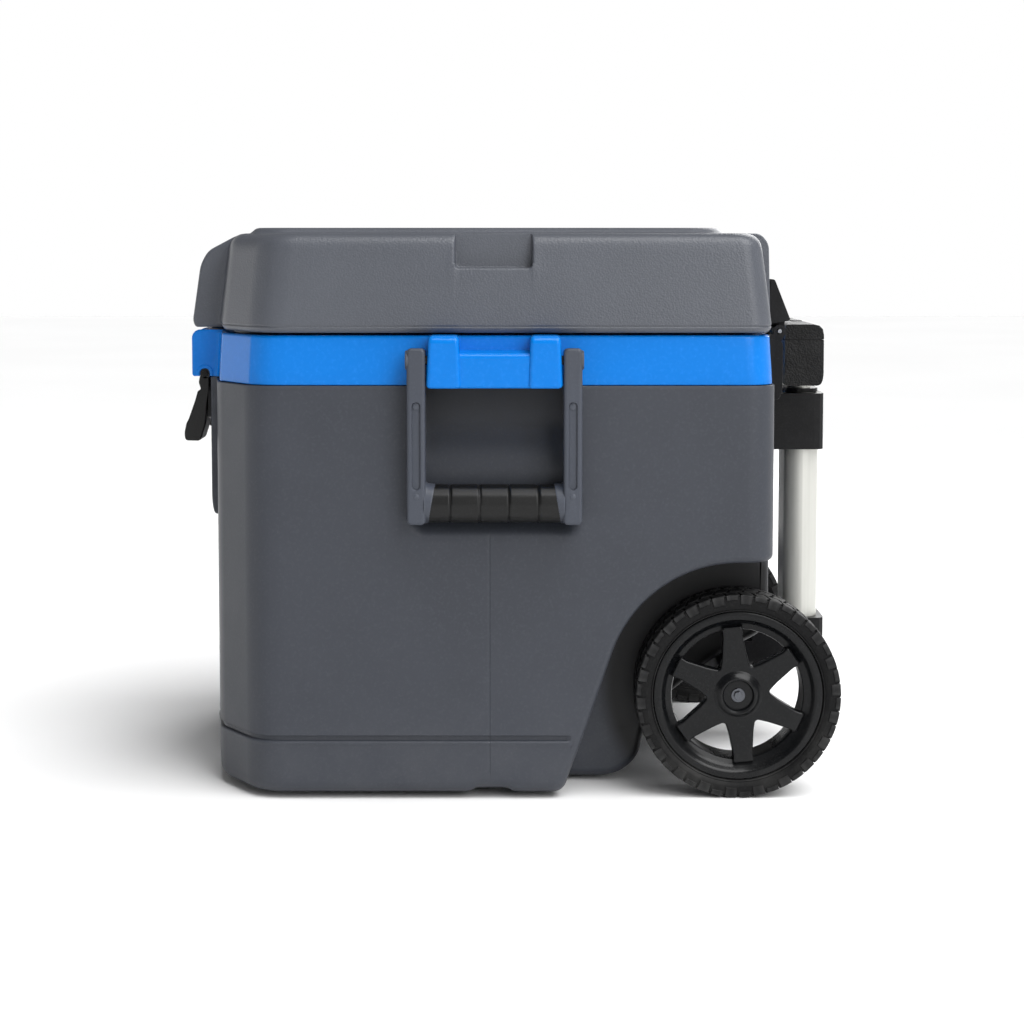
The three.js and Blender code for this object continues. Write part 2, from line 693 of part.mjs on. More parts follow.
function buildBailFrame(side) {
  const reach = BAIL_ARM[0] + 1;
  const core = bar('y', BRACKET_MID_Y - reach, BRACKET_MID_Y + reach, side * BAIL_GRIP_X,
    BAIL_GRIP_Z, 8, 12);
  const pocket = (end) => {
    const outer = BRACKET_MID_Y + end * BAIL_ARM[1];
    const middle = (BRACKET_MID_Y + end * BAIL_ARM[0] + outer) / 2;
    return block(sideways(side, BRACKET_FACE - 2, FAR), [middle - 4.4, middle + 4.4], [288, 366]);
  };
  return cut(join(bailArm(side, -1), bailArm(side, 1), core), pocket(-1), pocket(1),
    ...bailPinHoles(side));
}

function buildBailGrip(side) {
  const half = BAIL_ARM[0] - GAP - 0.2;
  const bore = 8 + GAP;
  const r = BAIL_GRIP_R;
  const profile = [
    [bore, -half], [r - 1.6, -half], [r, -half + 4], [r, half - 4], [r - 1.6, half], [bore, half],
    [bore, -half],
  ];
  const grip = new THREE.LatheGeometry(profile.map(([a, b]) => new THREE.Vector2(a, b)), 16);
  grip.translate(side * BAIL_GRIP_X, BRACKET_MID_Y, BAIL_GRIP_Z);
  return solid(grip);
}

function buildBailPin(side, end) {
  const tip = BRACKET_MID_Y + end * (BRACKET_HALF - 15);
  const seat = BRACKET_MID_Y + end * (BAIL_ARM[1] - 3);
  return bar('y', Math.min(tip, seat), Math.max(tip, seat), side * BAIL_X, BAIL_Z, BAIL_PIN_R, 8);
}

// ---------------------------------------------------------------- wheels
const WHEEL_SIDES = 32;

// A profile of [radius, distance from the middle plane] points, on the wheel's side.
function onSide(side, profile) {
  return profile.map(([r, x]) => [r, side * x]);
}

function buildTyre(side) {
  const [inner, outer] = WHEEL_X;
  const profile = onSide(side, [
    [RIM_R + GAP, inner + 5], [83, inner + 1], [WHEEL_R - 4, inner + 2.5], [WHEEL_R, inner + 9],
    [WHEEL_R, outer - 9], [WHEEL_R - 4, outer - 2.5], [83, outer - 1], [RIM_R + GAP, outer - 5],
    [RIM_R + GAP, inner + 5],
  ]);
  return lathe('x', profile, WHEEL_Y, WHEEL_R, WHEEL_SIDES);
}

// One window between two spokes, from the hub out to the rim.
function spokeWindow(side, k) {
  const middle = THREE.MathUtils.degToRad(SPOKE_TURN + 30 + (360 / SPOKES) * (k + 0.5));
  const spokeHalf = 10.8;
  const clear = (r) => Math.PI / SPOKES - Math.asin(spokeHalf / r);
  const corner = (r, turn, reach) => [
    WHEEL_Y + r * Math.cos(middle + turn), WHEEL_R + r * Math.sin(middle + turn), reach,
  ];
  const [low, high] = [27, 61];
  const corners = [
    corner(low, -clear(low)), corner(high, -clear(high), 5), corner(high * 1.04, 0),
    corner(high, clear(high), 5), corner(low, clear(low)),
  ];
  return alongX(outline(corners), ...sideways(side, 180, 240), 2);
}

function buildRim(side) {
  const [inner, outer] = WHEEL_X;
  const bore = HUB_BORE;
  const profile = onSide(side, [
    [bore, inner + 6], [17, inner + 6], [18, 201], [63, 203], [70, inner + 6],
    [RIM_R, inner + 6], [RIM_R, outer - 6], [69.5, outer - 6], [64, outer - 12],
    [22, 217], [16, 222], [bore, 222], [bore, inner + 6],
  ]);
  const windows = Array.from({ length: SPOKES }, (_, k) => spokeWindow(side, k));
  return cut(lathe('x', profile, WHEEL_Y, WHEEL_R, WHEEL_SIDES), ...windows);
}

function buildBush(side) {
  const bore = AXLE_R + GAP;
  const outside = HUB_BORE - GAP;
  const [x0, x1] = [176, AXLE_HALF - GAP];
  const profile = onSide(side, [[bore, x0], [outside, x0], [outside, x1], [bore, x1], [bore, x0]]);
  return lathe('x', profile, WHEEL_Y, WHEEL_R, 16);
}

function buildHubBolt(side) {
  const [w0, w1] = sideways(side, AXLE_HALF + GAP, AXLE_HALF + 1.8);
  const [h0, h1] = sideways(side, AXLE_HALF + 1, AXLE_HALF + 6.4);
  return join(
    bar('x', w0, w1, WHEEL_Y, WHEEL_R, 7.5, 16),
    bar('x', h0, h1, WHEEL_Y, WHEEL_R, 5.4, 6),
  );
}

// ---------------------------------------------------------------- pull handle and its supports
function tube(half, z0, z1) {
  return cut(racetrack(half, z0, z1), racetrack(half, z0 - 5, z1 + 5, -TUBE_WALL));
}

// The plastic ring on top of the middle tube, which the inner tube slides through.
function buildMiddleRing() {
  const ring = racetrack([MAST_HALF[0] - 1, MAST_HALF[1] - 1], MAST_TOP + 0.7, MAST_TOP + 4.4);
  return cut(ring, racetrack(INNER_HALF, 300, 400, GAP));
}

function mastBlock(z0, z1, rear) {
  const shape = outline([
    [-MAST_BLOCK_HALF, LEAF_FACE], [MAST_BLOCK_HALF, LEAF_FACE],
    [MAST_BLOCK_HALF, rear, 10], [-MAST_BLOCK_HALF, rear, 10],
  ]);
  return alongZ(shape, z0, z1);
}

function buildUpperBracket() {
  const ears = block([-62, 62], [LEAF_FACE, LEAF_BACK], [305, 340]);
  const [screwX, screwZ] = BRACKET_SCREW_PLACES[0];
  const holes = [-1, 1].map((side) => screwHole(side * screwX, screwZ));
  return cut(
    join(mastBlock(...UPPER_BRACKET_Z, 304.9), ears),
    racetrack(MAST_HALF, 0, 500, GAP), ...holes,
  );
}

function buildAxleCarrier() {
  const beam = outline([
    [189, 80, 6], [221, 78, 6], [221, 106, 6], [206, 112, 6], [192, 106, 4],
  ]);
  const bridge = block([-MAST_BLOCK_HALF, MAST_BLOCK_HALF], [210, 262], [CARRIER_BOTTOM, 108]);
  const flange = block([-MAST_BLOCK_HALF, MAST_BLOCK_HALF], [LEAF_FACE, 243], [120, 156]);
  const [screwX, screwZ] = BRACKET_SCREW_PLACES[1];
  const holes = [-1, 1].map((side) => screwHole(side * screwX, screwZ));
  return cut(
    join(
      mastBlock(CARRIER_BOTTOM, 131, 306.7), alongX(beam, -155, 155), bridge, flange,
    ),
    racetrack(MAST_HALF, MAST_BOTTOM - GAP, 500, GAP),
    bar('x', -170, 170, WHEEL_Y, WHEEL_R, AXLE_R + GAP, 16), ...holes,
  );
}

function gripProfile(z0, z1, rearTop) {
  return outline([
    [GRIP_Y[0], z0, 3], [GRIP_Y[1] - 2.5, z0, 4], [GRIP_Y[1], z0 + 8, 4],
    [GRIP_Y[1], z1, rearTop], [GRIP_Y[0], z1, 1.5],
  ]);
}

const BUTTON = { half: [14, 5], y: 281.4, bottom: 409.5, top: 419.2 };
const ROD_R = 2.5;

function buildGripBody() {
  const sleeve = racetrack(INNER_HALF, 0, 385, GAP);
  const channel = bar('z', 300, 500, 0, BUTTON.y, ROD_R + GAP, 8);
  const body = alongX(gripProfile(GRIP_Z[0], GRIP_SEAM - GAP, 1), -GRIP_HALF, GRIP_HALF);
  return cut(body, sleeve, channel);
}

function buildGripCap() {
  const cap = alongX(outline([
    [GRIP_Y[0], GRIP_SEAM], [GRIP_Y[1], GRIP_SEAM], [GRIP_Y[1], GRIP_Z[1], 10],
    [GRIP_Y[0] + 0.5, GRIP_Z[1], 3],
  ]), -GRIP_HALF, GRIP_HALF);
  const [hx, hy] = BUTTON.half.map((half) => half + GAP);
  const well = alongZ(rectangle(-hx, hx, BUTTON.y - hy, BUTTON.y + hy, 3), GRIP_SEAM + 0.5, 500);
  return cut(cap, well, bar('z', 300, 500, 0, BUTTON.y, ROD_R + GAP, 8));
}

function buildButton() {
  const [hx, hy] = BUTTON.half;
  return alongZ(rectangle(-hx, hx, BUTTON.y - hy, BUTTON.y + hy, 3), BUTTON.bottom, BUTTON.top);
}

// ---------------------------------------------------------------- drain
function buildDrainSpout() {
  const seat = DRAIN_FLOOR - GAP;
  const inside = CAVITY_FRONT + GAP;
  const profile = [
    [7.5, -268], [11, -268], [11, seat - 3], [18, seat - 3], [18, seat], [11, seat],
    [11, inside], [13.4, inside], [13.4, inside + 2.5], [7.5, inside + 2.5], [7.5, -268],
  ];
  return lathe('y', profile, 0, DRAIN_Z, 16);
}

function buildDrainCap() {
  const profile = [
    [0, -275.5], [18, -275.5], [19.5, -274], [19.5, -271.4], [16, -271.4], [16, -262.5],
    [11 + GAP, -262.5], [11 + GAP, -271.4], [0, -271.4],
  ];
  const wing = block([-2.5, 2.5], [-277, -275], [DRAIN_Z - 14, DRAIN_Z + 14]);
  return join(lathe('y', profile, 0, DRAIN_Z, 16), wing);
}

function buildDrainGasket() {
  const profile = [[7.8, -271], [10.6, -271], [10.6, -268.4], [7.8, -268.4], [7.8, -271]];
  return lathe('y', profile, 0, DRAIN_Z, 16);
}

// ---------------------------------------------------------------- the assembly
place('body_shell', buildBodyShell(), GREY_BODY);
place('body_foam', buildBodyFoam(), FOAM);
place('body_liner', buildBodyLiner(), WHITE);
place('collar', buildCollar(), BLUE);
place('lid_shell', buildLidShell(), GREY_LID);
place('lid_foam', buildLidFoam(), FOAM);
place('lid_liner', buildLidLiner(), WHITE);
place('lid_gasket', buildGasket(), RUBBER);

for (const [name, side] of SIDES) {
  place(`hinge_body_leaf_${name}`, hingeBodyLeaf(side), BLACK);
  place(`hinge_lid_leaf_${name}`, hingeLidLeaf(side), BLACK);
  const hingePin = sideways(side, HINGE_X[0] - 1.5, HINGE_X[1] + 1.5);
  place(`hinge_pin_${name}`, bar('x', ...hingePin, HINGE_Y, HINGE_Z, PIN_R, 12), STEEL);
  const x = side * HINGE_MID_X;
  const [lowZ, highZ] = HINGE_SCREW_PLACES;
  place(`hinge_screw_low_${name}`, screw(x, lowZ, SCREW_TIP, LEAF_BACK), STEEL);
  place(`hinge_screw_high_${name}`, screw(x, highZ, SCREW_TIP, LEAF_BACK), STEEL);
  place(`hinge_screw_lid_${name}`, screw(x, LID_SCREW_Z, 234, 246.5), STEEL);

  place(`latch_${name}`, buildLatch(side), RUBBER);
  const latchPin = sideways(side, LATCH_X[0] - 3.5, NOSE_HALF_WIDTH - 1);
  place(`latch_pin_${name}`, bar('x', ...latchPin, LATCH_Y, LATCH_Z, PIN_R, 12), STEEL);
  place(`latch_base_${name}`, buildLatchBase(side), BLACK);

  place(`bail_frame_${name}`, buildBailFrame(side), GREY_BODY);
  place(`bail_grip_${name}`, buildBailGrip(side), RUBBER);
  place(`bail_pin_front_${name}`, buildBailPin(side, -1), BLACK);
  place(`bail_pin_rear_${name}`, buildBailPin(side, 1), BLACK);

  place(`wheel_rim_${name}`, buildRim(side), BLACK);
  place(`tyre_${name}`, buildTyre(side), RUBBER);
  place(`wheel_bush_${name}`, buildBush(side), WHITE);
  place(`hub_bolt_${name}`, buildHubBolt(side), STEEL);

  const [[upperX, upperZ], [lowerX, lowerZ]] = BRACKET_SCREW_PLACES;
  place(`bracket_screw_upper_${name}`, screw(side * upperX, upperZ, SCREW_TIP, LEAF_BACK), STEEL);
  place(`bracket_screw_lower_${name}`, screw(side * lowerX, lowerZ, SCREW_TIP, 243), STEEL);
}

place('axle', bar('x', -AXLE_HALF, AXLE_HALF, WHEEL_Y, WHEEL_R, AXLE_R, 16), STEEL);
place('axle_carrier', buildAxleCarrier(), BLACK);
place('mast_upper_bracket', buildUpperBracket(), BLACK);
place('mast_outer', tube(MAST_HALF, MAST_BOTTOM, MAST_TOP), ALUMINIUM);
place('mast_middle', tube(MIDDLE_HALF, 96, MAST_TOP + 0.4), ALUMINIUM);
place('mast_middle_ring', buildMiddleRing(), BLACK);
place('mast_inner', tube(INNER_HALF, 100, 384.6), ALUMINIUM);
place('grip_body', buildGripBody(), BLACK);
place('grip_cap', buildGripCap(), BLACK);
place('release_button', buildButton(), BLACK);
place('release_rod', bar('z', 220, BUTTON.bottom - GAP, 0, BUTTON.y, ROD_R, 8), STEEL);
place('drain_spout', buildDrainSpout(), WHITE);
place('drain_cap', buildDrainCap(), BLACK);
place('drain_gasket', buildDrainGasket(), RUBBER);

export default group;
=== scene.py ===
import math

import bmesh
import bpy
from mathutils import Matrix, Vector
from mathutils.geometry import delaunay_2d_cdt


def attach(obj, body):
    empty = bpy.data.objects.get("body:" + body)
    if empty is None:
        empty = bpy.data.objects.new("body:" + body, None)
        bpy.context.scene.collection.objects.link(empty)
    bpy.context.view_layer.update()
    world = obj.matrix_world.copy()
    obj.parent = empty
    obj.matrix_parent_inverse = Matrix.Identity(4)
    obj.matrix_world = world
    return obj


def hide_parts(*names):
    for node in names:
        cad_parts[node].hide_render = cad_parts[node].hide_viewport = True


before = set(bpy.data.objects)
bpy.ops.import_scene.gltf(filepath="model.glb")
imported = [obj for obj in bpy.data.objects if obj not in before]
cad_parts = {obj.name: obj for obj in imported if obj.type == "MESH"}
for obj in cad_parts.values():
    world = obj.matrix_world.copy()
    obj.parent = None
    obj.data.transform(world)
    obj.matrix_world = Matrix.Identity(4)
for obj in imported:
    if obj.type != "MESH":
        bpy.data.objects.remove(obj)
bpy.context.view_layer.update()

MM = 0.001
SIDES = (("left", -1), ("right", 1))

# ---------------------------------------------------------------- camera
camera_data = bpy.data.cameras.new("camera")
camera_data.lens = 76.2
camera_data.sensor_width = 36
camera_data.shift_y = -0.1
camera = bpy.data.objects.new("camera", camera_data)
camera.location = (2.130, 0.003, 0.498)
camera.rotation_euler = (math.radians(90 - 4.49), 0, math.pi / 2)
bpy.context.scene.collection.objects.link(camera)
bpy.context.scene.camera = camera

# ---------------------------------------------------------------- driving dimensions, in mm
BODY_SIDE = 230
BODY_REAR = 236.5
BODY_FRONT = -277
BODY_BOTTOM = 5
BODY_TOP = 369.7
MIDDLE_Y = (BODY_REAR + BODY_FRONT) / 2
HALF_LENGTH = (BODY_REAR - BODY_FRONT) / 2

BRACKET_Y = -12.2                # the side brackets, bails and scoops are centred here
NOSE_HALF = 102

WHEEL_Y = 205
WHEEL_R = 92
ARCH_Z = 93
ARCH_R = 119
ARCH_END = math.radians(160.5)
SPINE_HALF = 165                 # half width of the body between the wheels

HINGE_X = (105, 160)
HINGE_Y = 246.4
HINGE_Z = 414.8
MAST_Y = 285.4


# ---------------------------------------------------------------- outlines
def rounded(corners, steps=6):
    """Corners (x, y, reach) as a closed outline, each rounded by an arc over its reach."""
    points = []
    for i, corner in enumerate(corners):
        here = Vector(corner[:2])
        reach = corner[2] if len(corner) > 2 else 0
        if not reach:
            points.append(here)
            continue
        to_before = (Vector(corners[i - 1][:2]) - here).normalized()
        to_after = (Vector(corners[(i + 1) % len(corners)][:2]) - here).normalized()
        weight = math.sin(to_before.angle(to_after) / 2)
        start, end = here + to_before * reach, here + to_after * reach
        for k in range(steps + 1):
            t = k / steps
            a, b, c = (1 - t) ** 2, 2 * t * (1 - t) * weight, t * t
            points.append((start * a + here * b + end * c) / (a + b + c))
    return points


def mirrored(corners):
    """The right half of a plan, from front to rear, with its left half added."""
    other = [(-x, *rest) for x, *rest in corners if x > 0]
    return list(corners) + other[::-1]


def box_corners(x0, x1, y0, y1, reach):
    return [(x0, y0, reach), (x1, y0, reach), (x1, y1, reach), (x0, y1, reach)]


def circle(radius, count=32, x=0.0, y=0.0, turn=0.0):
    angles = [turn + 2 * math.pi * k / count for k in range(count)]
    return [Vector((x + radius * math.cos(a), y + radius * math.sin(a))) for a in angles]


def inset(points, distance):
    """A closed outline drawn in by a distance, along the mitre of each corner."""
    count = len(points)
    area = sum(points[i - 1].cross(points[i]) for i in range(count))
    turn = 1 if area > 0 else -1
    result = []
    for i, here in enumerate(points):
        before = (here - points[i - 1]).normalized()
        after = (points[(i + 1) % count] - here).normalized()
        n0 = Vector((-before.y, before.x)) * turn
        n1 = Vector((-after.y, after.x)) * turn
        result.append(here + (n0 + n1) * (distance / max(0.3, 1 + n0.dot(n1))))
    return result


def smooth_step(t):
    t = min(1.0, max(0.0, t))
    return t * t * (3 - 2 * t)


def between(a, b, count):
    return [a + (b - a) * k / count for k in range(count + 1)]


# ---------------------------------------------------------------- skins
def along_x(u, v, w):
    return (w, u, v)


def along_y(u, v, w):
    return (u, w, v)


def along_z(u, v, w):
    return (u, v, w)


class Skin:
    """Vertices and faces gathered in millimetres, to be made into one object."""

    def __init__(self):
        self.verts = []
        self.faces = []

    def add(self, verts, faces):
        base = len(self.verts)
        self.verts += [tuple(v) for v in verts]
        self.faces += [tuple(base + i for i in face) for face in faces]

    def take(self, other):
        """Adds another skin's vertices and faces."""
        self.add(other.verts, other.faces)

    def loft(self, rings, closed=False):
        """Rings of equal length joined in turn; the ends are capped unless the loft closes."""
        count = len(rings[0])
        verts = [p for ring in rings for p in ring]
        pairs = list(zip(range(len(rings)), range(1, len(rings))))
        if closed:
            pairs.append((len(rings) - 1, 0))
        faces = []
        for a, b in pairs:
            for i in range(count):
                j = (i + 1) % count
                faces.append((a * count + i, a * count + j, b * count + j, b * count + i))
        if not closed:
            faces.append(tuple(range(count))[::-1])
            faces.append(tuple((len(rings) - 1) * count + i for i in range(count)))
        self.add(verts, faces)

    def prism(self, outline, low, high, edge, place, steps=3, ends=(True, True)):
        """An outline pushed from low to high, with its rims rounded off at the chosen ends."""
        rings = []
        angles = [math.pi / 2 * k / steps for k in range(steps + 1)]
        for angle in angles if ends[0] else angles[-1:]:
            drawn = inset(outline, edge * (1 - math.sin(angle)))
            w = low + (edge * (1 - math.cos(angle)) if ends[0] else 0)
            rings.append([place(p.x, p.y, w) for p in drawn])
        for angle in angles[::-1] if ends[1] else angles[-1:]:
            drawn = inset(outline, edge * (1 - math.sin(angle)))
            w = high - (edge * (1 - math.cos(angle)) if ends[1] else 0)
            rings.append([place(p.x, p.y, w) for p in drawn])
        self.loft(rings)

    def lathe(self, profile, place, p=0.0, q=0.0, count=48, turn=0.0):
        """A closed profile of (radius, place along the axis) points, turned round (p, q)."""
        rings = []
        for k in range(count):
            angle = turn + 2 * math.pi * k / count
            c, s = math.cos(angle), math.sin(angle)
            rings.append([place(p + r * c, q + r * s, w) for r, w in profile])
        self.loft(rings, closed=True)

    def flipped(self):
        """The same skin on the other side of the object."""
        other = Skin()
        other.add([(-x, y, z) for x, y, z in self.verts], [face[::-1] for face in self.faces])
        return other

    def side(self, side):
        return self if side > 0 else self.flipped()


def make(name, skin, look, body, replaced=(), sharp=38, thick=0.0, bevel=0.0, oriented=False):
    """A skin as an object with smooth shading, riding on a body."""
    mesh = bpy.data.meshes.new(name)
    mesh.from_pydata([(x * MM, y * MM, z * MM) for x, y, z in skin.verts], [], skin.faces)
    bm = bmesh.new()
    bm.from_mesh(mesh)
    bmesh.ops.remove_doubles(bm, verts=bm.verts, dist=0.00002)
    bmesh.ops.dissolve_degenerate(bm, edges=bm.edges, dist=0.000005)
    if not oriented:
        bmesh.ops.recalc_face_normals(bm, faces=bm.faces)
    bm.to_mesh(mesh)
    bm.free()
    mesh.shade_smooth()
    mesh.set_sharp_from_angle(angle=math.radians(sharp))
    mesh.materials.append(look)
    piece = bpy.data.objects.new(name, mesh)
    bpy.context.scene.collection.objects.link(piece)
    if thick:
        solidify = piece.modifiers.new("wall", "SOLIDIFY")
        solidify.thickness = thick * MM
        solidify.offset = -1
    if bevel:
        add_bevel(piece, bevel)
    weigh_normals(piece)
    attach(piece, body)
    if replaced:
        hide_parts(*replaced)
    return piece


def add_bevel(piece, width, segments=3, angle=30):
    bevel = piece.modifiers.new("soft_edges", "BEVEL")
    bevel.width = width * MM
    bevel.segments = segments
    bevel.limit_method = "ANGLE"
    bevel.angle_limit = math.radians(angle)
    bevel.use_clamp_overlap = True
    bevel.harden_normals = False


def weigh_normals(piece):
    normals = piece.modifiers.new("normals", "WEIGHTED_NORMAL")
    normals.mode = "FACE_AREA"
    normals.keep_sharp = True


def dress(node, look, soften=0.0):
    """A CAD node that stays in view: its material, and moulded edges where it has any."""
    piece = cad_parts[node]
    piece.data.materials.clear()
    piece.data.materials.append(look)
    if soften:
        planar = piece.modifiers.new("planar", "DECIMATE")
        planar.decimate_type = "DISSOLVE"
        planar.angle_limit = math.radians(1)
        add_bevel(piece, soften)
        weigh_normals(piece)
    return piece


# ---------------------------------------------------------------- materials
def srgb(red, green, blue):
    def linear(value):
        value /= 255
        return value / 12.92 if value <= 0.04045 else ((value + 0.055) / 1.055) ** 2.4
    return (linear(red), linear(green), linear(blue), 1)


class Look:
    """A procedural material being put together."""

    def __init__(self, name):
        self.material = bpy.data.materials.new(name)
        self.material.use_nodes = True
        self.tree = self.material.node_tree
        self.shader = self.tree.nodes["Principled BSDF"]
        self.place = self.node("ShaderNodeTexCoord").outputs["Object"]

    def node(self, kind, **values):
        node = self.tree.nodes.new(kind)
        for key, value in values.items():
            setattr(node, key, value)
        return node

    def join(self, source, target):
        self.tree.links.new(source, target)

    def stretched(self, scale):
        mapping = self.node("ShaderNodeMapping")
        mapping.inputs["Scale"].default_value = scale
        self.join(self.place, mapping.inputs["Vector"])
        return mapping.outputs["Vector"]

    def noise(self, scale, detail=3.0, rough=0.5, place=None, distortion=0.0):
        node = self.node("ShaderNodeTexNoise")
        node.inputs["Scale"].default_value = scale
        node.inputs["Detail"].default_value = detail
        node.inputs["Roughness"].default_value = rough
        node.inputs["Distortion"].default_value = distortion
        self.join(place or self.place, node.inputs["Vector"])
        return node.outputs["Fac"]

    def cells(self, scale, randomness=1.0):
        node = self.node("ShaderNodeTexVoronoi", feature="SMOOTH_F1")
        node.inputs["Scale"].default_value = scale
        node.inputs["Smoothness"].default_value = 0.6
        node.inputs["Randomness"].default_value = randomness
        self.join(self.place, node.inputs["Vector"])
        return node.outputs["Distance"]

    def ramp(self, source, low, high, from_value=0.0, to_value=1.0):
        """Maps low..high of a value smoothly onto from_value..to_value."""
        node = self.node("ShaderNodeMapRange", interpolation_type="SMOOTHSTEP")
        for socket, value in zip(("From Min", "From Max", "To Min", "To Max"),
                                 (low, high, from_value, to_value)):
            node.inputs[socket].default_value = value
        self.join(source, node.inputs["Value"])
        return node.outputs["Result"]

    def sums(self, operation, a, b):
        node = self.node("ShaderNodeMath", operation=operation)
        for socket, value in zip(node.inputs, (a, b)):
            if isinstance(value, (int, float)):
                socket.default_value = value
            else:
                self.join(value, socket)
        return node.outputs[0]

    def mix(self, factor, a, b):
        node = self.node("ShaderNodeMix", data_type="RGBA")
        sockets = (node.inputs[0], node.inputs[6], node.inputs[7])
        for socket, value in zip(sockets, (factor, a, b)):
            if isinstance(value, (int, float, tuple)):
                socket.default_value = value
            else:
                self.join(value, socket)
        return node.outputs[2]

    def bump(self, height, distance, strength=1.0, over=None):
        node = self.node("ShaderNodeBump")
        node.inputs["Distance"].default_value = distance * MM
        node.inputs["Strength"].default_value = strength
        self.join(height, node.inputs["Height"])
        if over:
            self.join(over, node.inputs["Normal"])
        return node.outputs["Normal"]

    def hollow_shade_mask(self):
        """A mask for painted shade: high inside the wheel arches and towards the top of the recesses behind the
        bails.
        """
        place = self.node("ShaderNodeSeparateXYZ")
        self.join(self.place, place.inputs[0])
        across, along, up = place.outputs
        across = self.sums("ABSOLUTE", across, 0)
        flat = self.node("ShaderNodeVectorMath", operation="MULTIPLY")
        self.join(self.place, flat.inputs[0])
        flat.inputs[1].default_value = (0, 1, 1)
        reach = self.node("ShaderNodeVectorMath", operation="DISTANCE")
        self.join(flat.outputs[0], reach.inputs[0])
        reach.inputs[1].default_value = (0, WHEEL_Y * MM, WHEEL_R * MM)
        beside = self.sums("MULTIPLY", self.ramp(across, 0.229, 0.217), self.ramp(across, 0.150, 0.165))
        arch = self.sums("MULTIPLY", self.ramp(reach.outputs["Value"], 0.128, 0.108), beside)
        beside = self.sums("ABSOLUTE", self.sums("SUBTRACT", along, BRACKET_Y * MM), 0)
        recess = self.sums("MULTIPLY", self.ramp(beside, 0.078, 0.068), self.ramp(up, 0.285, 0.375, 0.1, 0.8))
        recess = self.sums("MULTIPLY", recess, self.ramp(across, 0.2285, 0.22))
        return self.sums("MAXIMUM", arch, recess)

    def edges(self, low=0.515, high=0.6):
        """High on outer edges, from the mesh's pointiness; it lightens edges as wear and as painted highlight."""
        return self.ramp(self.node("ShaderNodeNewGeometry").outputs["Pointiness"], low, high)


def moulded(name, colour, rough, grain=900, grain_height=0.05, pebble=0.0, pebble_scale=420,
            cloud=0.06, wear_and_highlight=0.25, scuff=0.12, dust=0.0, coat=0.0, specular=0.5, hollow_shade=0.0):
    """Moulded plastic or rubber: clouded colour, grain, outer edges lightened as wear and painted highlight,
    scuffs, floor dust and painted shade in hollows.
    """
    look = Look(name)
    dark = tuple(c * (1 - cloud) for c in colour[:3]) + (1,)
    light = tuple(min(1, c * (1 + cloud)) for c in colour[:3]) + (1,)
    worn_and_highlit = tuple(min(1, c * 1.5 + 0.03) for c in colour[:3]) + (1,)
    scuffed = tuple(min(1, c * 1.25 + 0.02) for c in colour[:3]) + (1,)
    clouds = look.noise(7, 4, 0.55)
    base = look.mix(look.ramp(clouds, 0.3, 0.7), dark, light)
    speck = look.noise(grain * 0.6, 2)
    base = look.mix(look.ramp(speck, 0.45, 0.9, 0, 0.35), base, scuffed)
    # Outer edges lightened: partly wear, partly a painted highlight for the light that edges catch.
    edge = look.sums("MULTIPLY", look.edges(), look.ramp(look.noise(60, 4), 0.35, 0.7, 0.4, 1))
    base = look.mix(look.sums("MULTIPLY", edge, wear_and_highlight), base, worn_and_highlit)
    long_marks = look.noise(9, 5, 0.65, look.stretched((1, 2.2, 14)), 0.6)
    marks = look.ramp(long_marks, 0.68, 0.74)
    base = look.mix(look.sums("MULTIPLY", marks, scuff), base, scuffed)
    if dust:
        height = look.node("ShaderNodeSeparateXYZ")
        look.join(look.place, height.inputs[0])
        low = look.ramp(height.outputs["Z"], 0.12, 0.0)
        patchy = look.sums("MULTIPLY", low, look.ramp(look.noise(28, 5, 0.6), 0.35, 0.75))
        base = look.mix(look.sums("MULTIPLY", patchy, dust), base, srgb(128, 127, 124))
    # Painted shade: pulls the colour towards near-black inside the wheel arches and at the top of the bail
    # recesses.
    if hollow_shade:
        base = look.mix(look.sums("MULTIPLY", look.hollow_shade_mask(), hollow_shade), base, srgb(12, 12, 14))
    look.join(base, look.shader.inputs["Base Color"])
    gloss = look.ramp(look.noise(22, 5, 0.6), 0.25, 0.75, rough - 0.02, rough + 0.03)
    gloss = look.sums("ADD", gloss, look.sums("MULTIPLY", marks, scuff * 0.6))
    look.join(gloss, look.shader.inputs["Roughness"])
    normal = look.bump(look.noise(grain, 3, 0.6), grain_height)
    if pebble:
        normal = look.bump(look.cells(pebble_scale), pebble, over=normal)
    look.join(normal, look.shader.inputs["Normal"])
    look.shader.inputs["Specular IOR Level"].default_value = specular
    if coat:
        look.shader.inputs["Coat Weight"].default_value = coat
        look.shader.inputs["Coat Roughness"].default_value = 0.08
    return look.material


def metal(name, colour, rough, stretch, brushed=0.02, metallic=1.0):
    """Drawn or turned metal with fine lines along one axis and small marks."""
    look = Look(name)
    lines = look.noise(60, 4, 0.6, look.stretched(stretch))
    base = look.mix(look.ramp(lines, 0.3, 0.7), tuple(c * 0.9 for c in colour[:3]) + (1,), colour)
    spots = look.ramp(look.noise(35, 4), 0.66, 0.75, 0, 0.2)
    base = look.mix(spots, base, tuple(c * 0.6 for c in colour[:3]) + (1,))
    look.join(base, look.shader.inputs["Base Color"])
    look.join(look.ramp(lines, 0.2, 0.8, rough - 0.06, rough + 0.08), look.shader.inputs["Roughness"])
    look.join(look.bump(lines, brushed), look.shader.inputs["Normal"])
    look.shader.inputs["Metallic"].default_value = metallic
    return look.material
